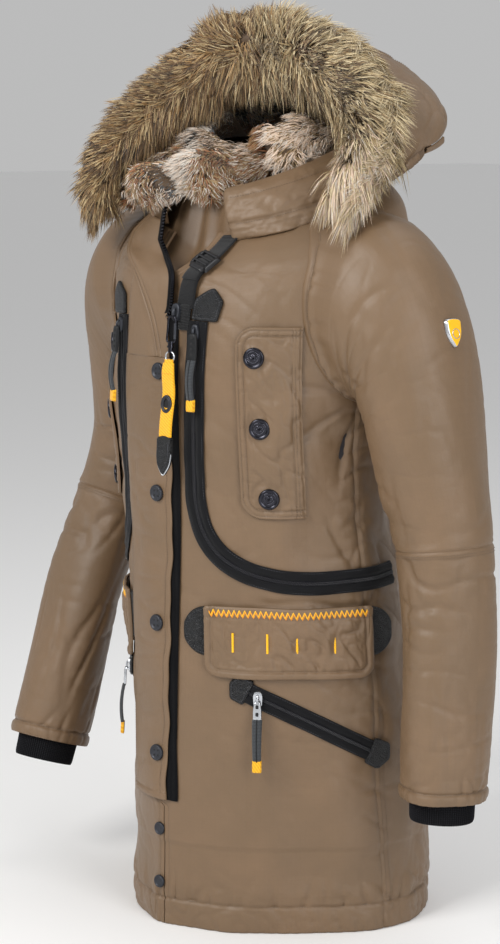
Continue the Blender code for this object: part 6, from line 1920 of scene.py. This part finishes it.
for name, side in (("left", 1), ("right", -1)):
    # chest zip
    mesh = Mesh()
    zip_band(mesh, line(CHEST_ZIP, 190), 0.0262, side, fold=0.0013)
    done(mesh.object("chest_zip_tapes_" + name, "zip_tape"), "body", "chest_zip_" + name)
    mesh = Mesh()
    leather_patch(mesh, [(0.0855, 0.7375), (0.0985, 0.7200), (0.0930, 0.6975), (0.0600, 0.6990), (0.0635, 0.7215)], side, 0.0006, 0.0030, 0.003)
    done(mesh.object("chest_patch_leather_" + name, "leather"), "body", "chest_zip_patch_" + name)

    # small slider with its bridge
    def small_slider(frame, lo, hi, mat, wide, tall):
        m_ = Mesh()
        at_ = frame_at(frame)
        out_ = evenly(corners([(-wide, -tall), (wide, -tall), (wide * 1.15, tall * 0.35), (wide * 0.75, tall), (-wide * 0.75, tall), (-wide * 1.15, tall * 0.35)], 0.0025, 5), 0.0008, True)
        m_.pillow(out_, at_, lo, hi, mat, roll=0.0008, rings=6)
        a_ = np.linspace(0, math.pi, 14)
        m_.tube(at_(0 * a_, tall * 0.55 * np.cos(a_), hi - 0.0004 + 0.0030 * np.sin(a_)), 0.0010, mat, 8, flat=1.4, ref=frame[1])
        return m_

    f = place(np.array(side * 0.0675), np.array(0.686), swelling(side * 0.0675, 0.686))
    mesh = small_slider(f, 0.0030, 0.0060, "matte_metal", 0.0044, 0.0085)
    done(mesh.object("chest_slider_body_" + name, "black_metal", flat=50), "chest_slider_" + name, "chest_slider_" + name)
    # chest puller: perforated rubber head, webbing that bows out, yellow end
    f0 = place(np.array(side * 0.0675), np.array(0.686))
    p = f0[0] - f0[2] * 0.002 + f0[3] * 0.0094
    at = frame_at((p, f0[1], f0[2], f0[3]))
    mesh = Mesh()
    head = evenly(corners([(-0.0048, 0.0010), (0.0048, 0.0010), (0.0064, -0.0100), (0.0064, -0.0240), (0.0050, -0.0310), (-0.0050, -0.0310), (-0.0064, -0.0240), (-0.0064, -0.0100)], 0.003, 5), 0.0008, True)
    mesh.pillow(head, at, -0.0012, 0.0016, "rubber", roll=0.0009, rings=7)
    # the perforations are dark discs on the rubber head: painted shade in place of holes
    for k_, y0 in enumerate((-0.0050, -0.0110, -0.0170, -0.0230)):
        mesh.turned([(0.0, 0.0010), (0.0017, 0.0010), (0.0017, 0.0019), (0.0014, 0.0020), (0.0, 0.0020)], (at(0.0, y0, 0.0), f0[1], f0[2], f0[3]), "dark", 12)
    ys = np.linspace(-0.0290, -0.0740, 50)
    bow_ = lambda y: 0.0042 * np.sin(np.clip((-0.029 - y) / 0.045, 0, 1) * math.pi) ** 0.8
    band(mesh, at, ys, 0.0052 - 0.0006 * (ys + 0.029) / -0.045, -0.0010, 0.0016, "grey_web", 13, crown=0.0006, wave=bow_)
    mesh.tube(at(0 * ys, ys, 0.0022 + bow_(ys)), 0.0005, "rubber", 6, ref=f0[1])
    yel = evenly(corners([(-0.0052, -0.0722), (0.0052, -0.0722), (0.0052, -0.0862), (-0.0052, -0.0862)], 0.0016, 5), 0.0008, True)
    mesh.pillow(yel, at, -0.0014, 0.0024, "yellow", roll=0.0010, rings=7, dome=0.0003)
    done(mesh.object("chest_puller_cord_" + name, "puller_rubber", flat=55), "chest_puller_" + name, "chest_puller_" + name)

    # chest flap with double-stitched edges and puckers
    cols, rows = dense(44, 0.12, 12), dense(96, 0.06, 14)
    gs, gv = rounded(FLAP_S, FLAP_V, 0.022, 0.024, cols, rows, True)
    out = outline_of(gs, gv)
    out = out[out[:, 0] < FLAP_S[1] - 0.0005]
    d = to_edge(gs, gv, out)
    hinge_d = FLAP_S[1] - gs
    dd = np.minimum(d, 1.0)
    q = np.stack([gs * 1.0, gv, 0 * gs + side * 0.3], -1)
    t = flap_height(dd, 0.0016, 0.0026, ((0.0036, 0.0008, 0.0011), (0.0098, 0.0013, 0.0014)), 0.0008)
    band_in = smooth(dd, 0.0098, 0.017)
    t += band_in * (0.0012 * field_a(q) - 0.0019 * valley(field_b(q * [0.8, 1.2, 1]), 0.26) - 0.0007 * valley(field_c(q), 0.3) + 0.0006)
    pucker = valley(field_c(np.stack([np.where(np.abs(gv - 0.59) < 0.095, gs * 0.2, gs), np.where(np.abs(gv - 0.59) < 0.095, gv, gv * 0.3), 0 * gs], -1)), 0.35)
    t -= 0.0008 * pucker * (dd > 0.0040) * (1 - smooth(dd, 0.012, 0.020))
    t -= 0.0016 * np.exp(-(((hinge_d - 0.0012) / 0.0018) ** 2)) + 0.0009 * np.exp(-(((hinge_d - 0.0105) / 0.0012) ** 2)) + 0.0005 * np.exp(-(((hinge_d - 0.0070) / 0.0010) ** 2))
    for s0, v0 in ((0.138, 0.660), (0.143, 0.582), (0.149, 0.503)):
        r = np.hypot(gs - s0, gv - v0)
        t -= 0.0014 * np.exp(-(((r - 0.0150) / 0.0045) ** 2)) * (dd > 0.003)
    t = np.maximum(t, 0.0009)
    mesh = Mesh()
    mesh.slab(layer(side * gs, gv, t), layer(side * gs, gv, 0.0004 + 0 * t), gs, gv, "shell")
    for off in (0.0036, 0.0098):
        # stitch lines parallel to the free edge
        tvals = np.linspace(0, 1, 400)
        path = evenly(corners([(FLAP_S[1], FLAP_V[1] - off), (FLAP_S[0] + off, FLAP_V[1] - off), (FLAP_S[0] + off, FLAP_V[0] + off), (FLAP_S[1], FLAP_V[0] + off)], [0.0001, 0.022 - off * 0.8, 0.024 - off * 0.8, 0.0001], 16), 0.0016)
        mesh.stitches(layer(side * path[:, 0], path[:, 1], 0.0028 + 0 * path[:, 0]), layer_normal(side * path[:, 0], path[:, 1]))
    vv = np.linspace(FLAP_V[0] + 0.004, FLAP_V[1] - 0.004, 90)
    for off in (0.0070, 0.0105):
        ss = FLAP_S[1] - off + 0 * vv
        mesh.stitches(layer(side * ss, vv, 0.0029 + 0 * vv), layer_normal(side * ss, vv))
    obj = mesh.object("chest_flap_cloth_" + name, "shell_fabric")
    a_, b_ = layer(np.array(side * FLAP_S[1]), np.array(0.587), np.array(0.003)), layer(np.array(side * (FLAP_S[1] - 0.018)), np.array(0.587), np.array(0.003))
    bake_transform(obj)
    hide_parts("chest_flap_" + name)
    for i, (s0, v0) in enumerate(((0.138, 0.660), (0.143, 0.582), (0.149, 0.503))):
        mesh = Mesh()
        at = place(side * s0, v0, swelling(side * s0, v0))
        ring_relief = lambda r, a: 0.00028 * (np.sin(a * 22) > 0.25) * ((r > 0.0048) & (r < 0.0072)) + 0.00022 * np.cos(a * 6) * (r < 0.0034)
        mesh.turned([(0.0, 0.0028), (0.0112, 0.0028), (0.0118, 0.0036), (0.0118, 0.0046), (0.0112, 0.0056), (0.0102, 0.0062), (0.0092, 0.0062), (0.0086, 0.0056), (0.0080, 0.0054), (0.0076, 0.0058), (0.0070, 0.0058), (0.0060, 0.0058),
                     (0.0050, 0.0058), (0.0045, 0.0054), (0.0040, 0.0056), (0.0030, 0.0061), (0.0020, 0.0061), (0.0010, 0.0063), (0.0, 0.0063)], at, "black_metal", 132, ripple=ring_relief)
        done(mesh.object(f"chest_stud_cap_{name}_{i + 1}", "black_metal", flat=60), "chest_flap_" + name, f"chest_stud_{name}_{i + 1}")

    # hip leather: two half-moons that show beside the flap
    cols, rows = dense(70, 0.10, 16), dense(14, 0.2, 6)
    gs, gv = rounded((0.042, 0.288), (0.321, 0.3775), 0.028, 0.028, cols, rows)
    out = outline_of(gs, gv)
    d = to_edge(gs, gv, out)
    t = flap_height(d, 0.0012, 0.0016, ((0.0034, 0.0004, 0.0009),), 0.0004)
    mesh = Mesh()
    mesh.slab(layer(side * gs, gv, t), layer(side * gs, gv, 0 * t), gs, gv, "leather")
    path = inset(evenly(out, 0.0016, True), 0.0034)
    path = path[(path[:, 0] < 0.074) | (path[:, 0] > 0.256)]
    for part in (path[path[:, 0] < 0.1], path[path[:, 0] > 0.2]):
        ang_ = np.arctan2(part[:, 1] - 0.351, (part[:, 0] - (0.074 if part[0, 0] < 0.1 else 0.256)) * (-1 if part[0, 0] < 0.1 else 1))
        part = part[np.argsort(ang_)]
        mesh.stitches(layer(side * part[:, 0], part[:, 1], 0.0020 + 0 * part[:, 0]), layer_normal(side * part[:, 0], part[:, 1]), "black_thread", wide=0.0008)
    done(mesh.object("hip_leather_grain_" + name, "leather"), "body", "hip_leather_" + name)

    # hip flap
    cols, rows = dense(120, 0.045, 14), dense(46, 0.11, 14)
    gs, gv = rounded(HIP_S, HIP_V, 0.004, 0.018, cols, rows)
    out = outline_of(gs, gv)
    free_edge = out[out[:, 1] < HIP_V[1] - 0.0006]
    d = to_edge(gs, gv, free_edge)
    from_top = HIP_V[1] - gv
    q = np.stack([gs, gv, 0 * gs + side * 0.7], -1)
    t = flap_height(d, 0.0020, 0.0040, ((0.0092, 0.0018, 0.0014),), 0.0018)
    inner = smooth(d, 0.0092, 0.0150) * smooth(from_top, 0.010, 0.020)
    t += 0.0010 * np.exp(-(((d - 0.0048) / 0.003) ** 2))
    t += inner * (0.0015 * field_a(q) - 0.0022 * valley(field_b(q * [0.75, 1.25, 1]), 0.24) - 0.0008 * valley(field_c(q), 0.3) + 0.0010)
    pucker = valley(field_c(np.stack([np.where(d < from_top, gs, gs), gv * 0.35, 0 * gs + 0.2], -1)), 0.36)
    t -= 0.0012 * pucker * np.exp(-(((d - 0.0135) / 0.005) ** 2)) + 0.0007 * pucker * np.exp(-(((d - 0.0060) / 0.0035) ** 2))
    t -= 0.0010 * np.exp(-(((from_top - 0.0125) / 0.0016) ** 2)) + 0.0012 * np.exp(-((from_top / 0.0016) ** 2))
    t -= 0.0014 * valley(field_c(q * [1, 0.3, 1]), 0.34) * np.exp(-(((from_top - 0.018) / 0.006) ** 2))
    tack_s = (0.102, 0.141, 0.174, 0.216)
    for s0 in tack_s:
        along_ = (from_top - 0.041) / 0.0115
        t -= 0.0022 * np.exp(-(((gs - s0) / 0.0042) ** 2)) * np.exp(-(np.abs(along_) ** 4))
        t += 0.0010 * np.exp(-(((np.abs(gs - s0) - 0.0085) / 0.0035) ** 2)) * np.exp(-(np.abs(along_) ** 4)) * inner
    t = np.maximum(t, 0.0030)
    mesh = Mesh()
    mesh.slab(layer(side * gs, gv, t), layer(side * gs, gv, 0.0021 + 0 * t), gs, gv, "shell")
    # zig-zag bartacks along the top, two threads
    zs = np.arange(HIP_S[0] + 0.0035, HIP_S[1] - 0.0030, 0.0030)
    up_down = np.where(np.arange(len(zs)) % 2 == 0, -0.0036, 0.0036)
    for shift, key in ((0.0, "yellow_thread"), (0.0013, "orange_thread")):
        fine_s, fine_v = [], []
        for k_ in range(len(zs) - 1):
            w1 = np.linspace(0, 1, 7, endpoint=False)
            fine_s.append(zs[k_] + (zs[k_ + 1] - zs[k_]) * w1)
            fine_v.append(up_down[k_] + (up_down[k_ + 1] - up_down[k_]) * w1)
        fs, fv = np.concatenate(fine_s) + shift * 0.6, HIP_V[1] - 0.0068 + np.concatenate(fine_v) - shift
        tz = np.interp(HIP_V[1] - fv, (HIP_V[1] - gv[:, 60])[::1], t[:, 60]) * 0 + 0.0056
        mesh.tube(layer(side * fs, fv, tz), 0.00062, key, 6, flat=0.7, ref=layer_normal(np.array(side * 0.165), np.array(0.37)))
    for s0 in tack_s:
        vv = np.linspace(0.3495, 0.3275, 30)
        ss = s0 + 0.0010 * np.sin(np.arange(30) * math.pi / 1.0 + 0.5)
        zz = 0.0040 + 0 * vv
        core = np.stack([s0 + 0 * vv, vv], -1)
        gsb, gvb, runb, xb = band_grid(core, 0.0026, 7)
        tb = 0.0036 + 0.0013 * np.sqrt(np.clip(1 - (xb / 0.0013) ** 2, 0, 1)) + 0.00025 * np.sin(runb * 2 * math.pi / 0.0011)
        mesh.slab(layer(side * gsb, gvb, tb), layer(side * gsb, gvb, 0.0026 + 0 * tb), runb, xb, "yellow_thread")
    obj = mesh.object("hip_flap_cloth_" + name, "shell_fabric")
    a_, b_ = layer(np.array(side * 0.165), np.array(0.3785), np.array(0.003)), layer(np.array(side * 0.165), np.array(0.345), np.array(0.003))
    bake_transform(obj)
    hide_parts("hip_flap_" + name)

    # pocket zip and its leather ends
    a0, a1 = np.array(POCKET[0]), np.array(POCKET[1])
    d_ = unit(a1 - a0)
    nrm_ = np.array([-d_[1], d_[0]])
    mesh = Mesh()
    zip_band(mesh, line([a0 - d_ * 0.001, (a0 + a1) / 2 + nrm_ * 0.0012, a1 + d_ * 0.001], 110), 0.0235, side, fold=0.0008, base=0.0004)
    done(mesh.object("pocket_zip_tapes_" + name, "zip_tape"), "body", "pocket_zip_" + name)
    mesh = Mesh()
    c0 = a0 - d_ * 0.013
    leather_patch(mesh, [c0 + d_ * 0.0135 + nrm_ * 0.0150, c0 - d_ * 0.0040 + nrm_ * 0.0165, c0 - d_ * 0.0125, c0 - d_ * 0.0040 - nrm_ * 0.0170, c0 + d_ * 0.0135 - nrm_ * 0.0160], side, 0.0004, 0.0028, 0.0035)
    done(mesh.object("pocket_leather_front_" + name, "leather"), "body", "pocket_leather_start_" + name)
    mesh = Mesh()
    c1 = a1 + d_ * 0.012
    leather_patch(mesh, [c1 - d_ * 0.0135 + nrm_ * 0.0155, c1 + d_ * 0.0060 + nrm_ * 0.0165, c1 + d_ * 0.0150, c1 + d_ * 0.0060 - nrm_ * 0.0165, c1 - d_ * 0.0135 - nrm_ * 0.0155], side, 0.0004, 0.0028, 0.0035)
    done(mesh.object("pocket_leather_back_" + name, "leather"), "body", "pocket_leather_end_" + name)
    start = a0 + d_ * 0.012
    f = place(np.array(side * start[0]), np.array(start[1]), swelling(side * start[0], start[1]) * 1.0)
    mesh = small_slider(f, 0.0024, 0.0056, "steel", 0.0050, 0.0090)
    done(mesh.object("pocket_slider_body_" + name, "grey_metal", flat=50), "pocket_slider_" + name, "pocket_slider_" + name)
    f0 = place(np.array(side * start[0]), np.array(start[1]))
    p = f0[0] - f0[2] * 0.004 + f0[3] * 0.0090
    lean = math.radians(4.8)
    up, outn = f0[2] * math.cos(lean) - f0[3] * math.sin(lean), f0[3] * math.cos(lean) + f0[2] * math.sin(lean)
    fr = (p, f0[1], up, outn)
    at = frame_at(fr)
    mesh = Mesh()
    metal = evenly(corners([(-0.0036, 0.0024), (0.0036, 0.0024), (0.0050, -0.0080), (0.0050, -0.0205), (-0.0050, -0.0205), (-0.0050, -0.0080)], 0.0026, 5), 0.0008, True)
    mesh.pillow(metal, at, -0.0010, 0.0014, "steel", roll=0.0008, rings=7)
    # the two slots in the metal are dark pillows: painted shade in place of openings
    for y0 in (-0.0040, -0.0125):
        hole_ = evenly(corners([(-0.0020, y0 - 0.0026), (0.0020, y0 - 0.0026), (0.0020, y0 + 0.0026), (-0.0020, y0 + 0.0026)], 0.0014, 4), 0.0006, True)
        mesh.pillow(hole_, at, 0.0008, 0.0017, "dark", roll=0.0004, rings=4)
    ys = np.linspace(-0.0185, -0.0665, 50)
    bow_ = lambda y: 0.0026 * np.sin(np.clip((-0.0185 - y) / 0.048, 0, 1) * math.pi) ** 0.8
    band(mesh, at, ys, 0.0058 - 0.0010 * (ys + 0.0185) / -0.048, -0.0010, 0.0015, "grey_web", 13, crown=0.0005, wave=bow_)
    mesh.tube(at(0 * ys, ys, 0.0020 + bow_(ys)), 0.0007, "rubber", 6, ref=f0[1])
    yel = evenly(corners([(-0.0054, -0.0645), (0.0054, -0.0645), (0.0054, -0.0790), (-0.0054, -0.0790)], 0.0016, 5), 0.0008, True)
    mesh.pillow(yel, at, -0.0014, 0.0023, "yellow", roll=0.0010, rings=7, dome=0.0003)
    done(mesh.object("pocket_puller_cord_" + name, "puller_rubber", flat=55), "pocket_puller_" + name, "pocket_puller_" + name)

# ------------------------------------------------------------------ stage
def plain_floor():
    mesh = bpy.data.meshes.new("studio_floor")
    # flat floor, far enough for every view
    mesh.from_pydata([(-30, -30, 0), (30, -30, 0), (30, 30, 0), (-30, 30, 0)], [], [(0, 1, 2, 3)])
    mat = bpy.data.materials.new("studio_floor_look")
    mat.use_nodes = True
    b = mat.node_tree.nodes["Principled BSDF"]
    b.inputs["Base Color"].default_value = (0.92, 0.92, 0.92, 1)
    b.inputs["Roughness"].default_value = 0.9
    mesh.materials.append(mat)
    obj = bpy.data.objects.new("studio_floor", mesh)
    bpy.context.scene.collection.objects.link(obj)
    return obj


staged = [plain_floor()]
world = bpy.data.worlds.new("studio") if not bpy.data.worlds else bpy.data.worlds[0]
bpy.context.scene.world = world
world.use_nodes = True
world.node_tree.nodes["Background"].inputs[0].default_value = (1.0, 1.0, 1.0, 1)
world.node_tree.nodes["Background"].inputs[1].default_value = 0.50


def lamp(name, at, to, size, power, colour=(1, 1, 1)):
    data = bpy.data.lights.new(name, "AREA")
    data.shape = "RECTANGLE"
    data.size, data.size_y = size
    data.energy = power
    data.color = colour
    obj = bpy.data.objects.new(name, data)
    bpy.context.scene.collection.objects.link(obj)
    obj.location = at
    obj.rotation_euler = (Vector(to) - Vector(at)).to_track_quat("-Z", "Y").to_euler()
    staged.append(obj)


TARGET = Vector((0.0, 0.0, 0.511))
lamp("key_soft", (0.2, -2.6, 2.2), TARGET, (1.4, 1.4), 64, (1.0, 0.985, 0.96))
lamp("side_soft", (3.0, -0.6, 1.5), TARGET, (1.2, 2.0), 38, (0.98, 0.99, 1.0))
lamp("far_soft", (-2.4, -1.6, 1.4), TARGET, (1.2, 1.8), 3, (0.98, 0.99, 1.0))
lamp("top_soft", (0.4, 0.6, 3.0), TARGET, (1.8, 1.8), 15)

AZ, EL = math.radians(50), math.radians(8)
back = Vector((math.sin(AZ) * math.cos(EL), -math.cos(AZ) * math.cos(EL), math.sin(EL)))
camera = bpy.data.cameras.new("photo_view")
camera.lens = 98.39
camera.sensor_width = 36
camera.sensor_height = 36
camera.sensor_fit = "AUTO"
camera.shift_x = -2 / 944
cam = bpy.data.objects.new("photo_view", camera)
bpy.context.scene.collection.objects.link(cam)
cam.location = TARGET + back * 3.0
cam.rotation_euler = back.to_track_quat("Z", "Y").to_euler()
bpy.context.scene.camera = cam
bpy.context.scene.view_settings.view_transform = "Standard"
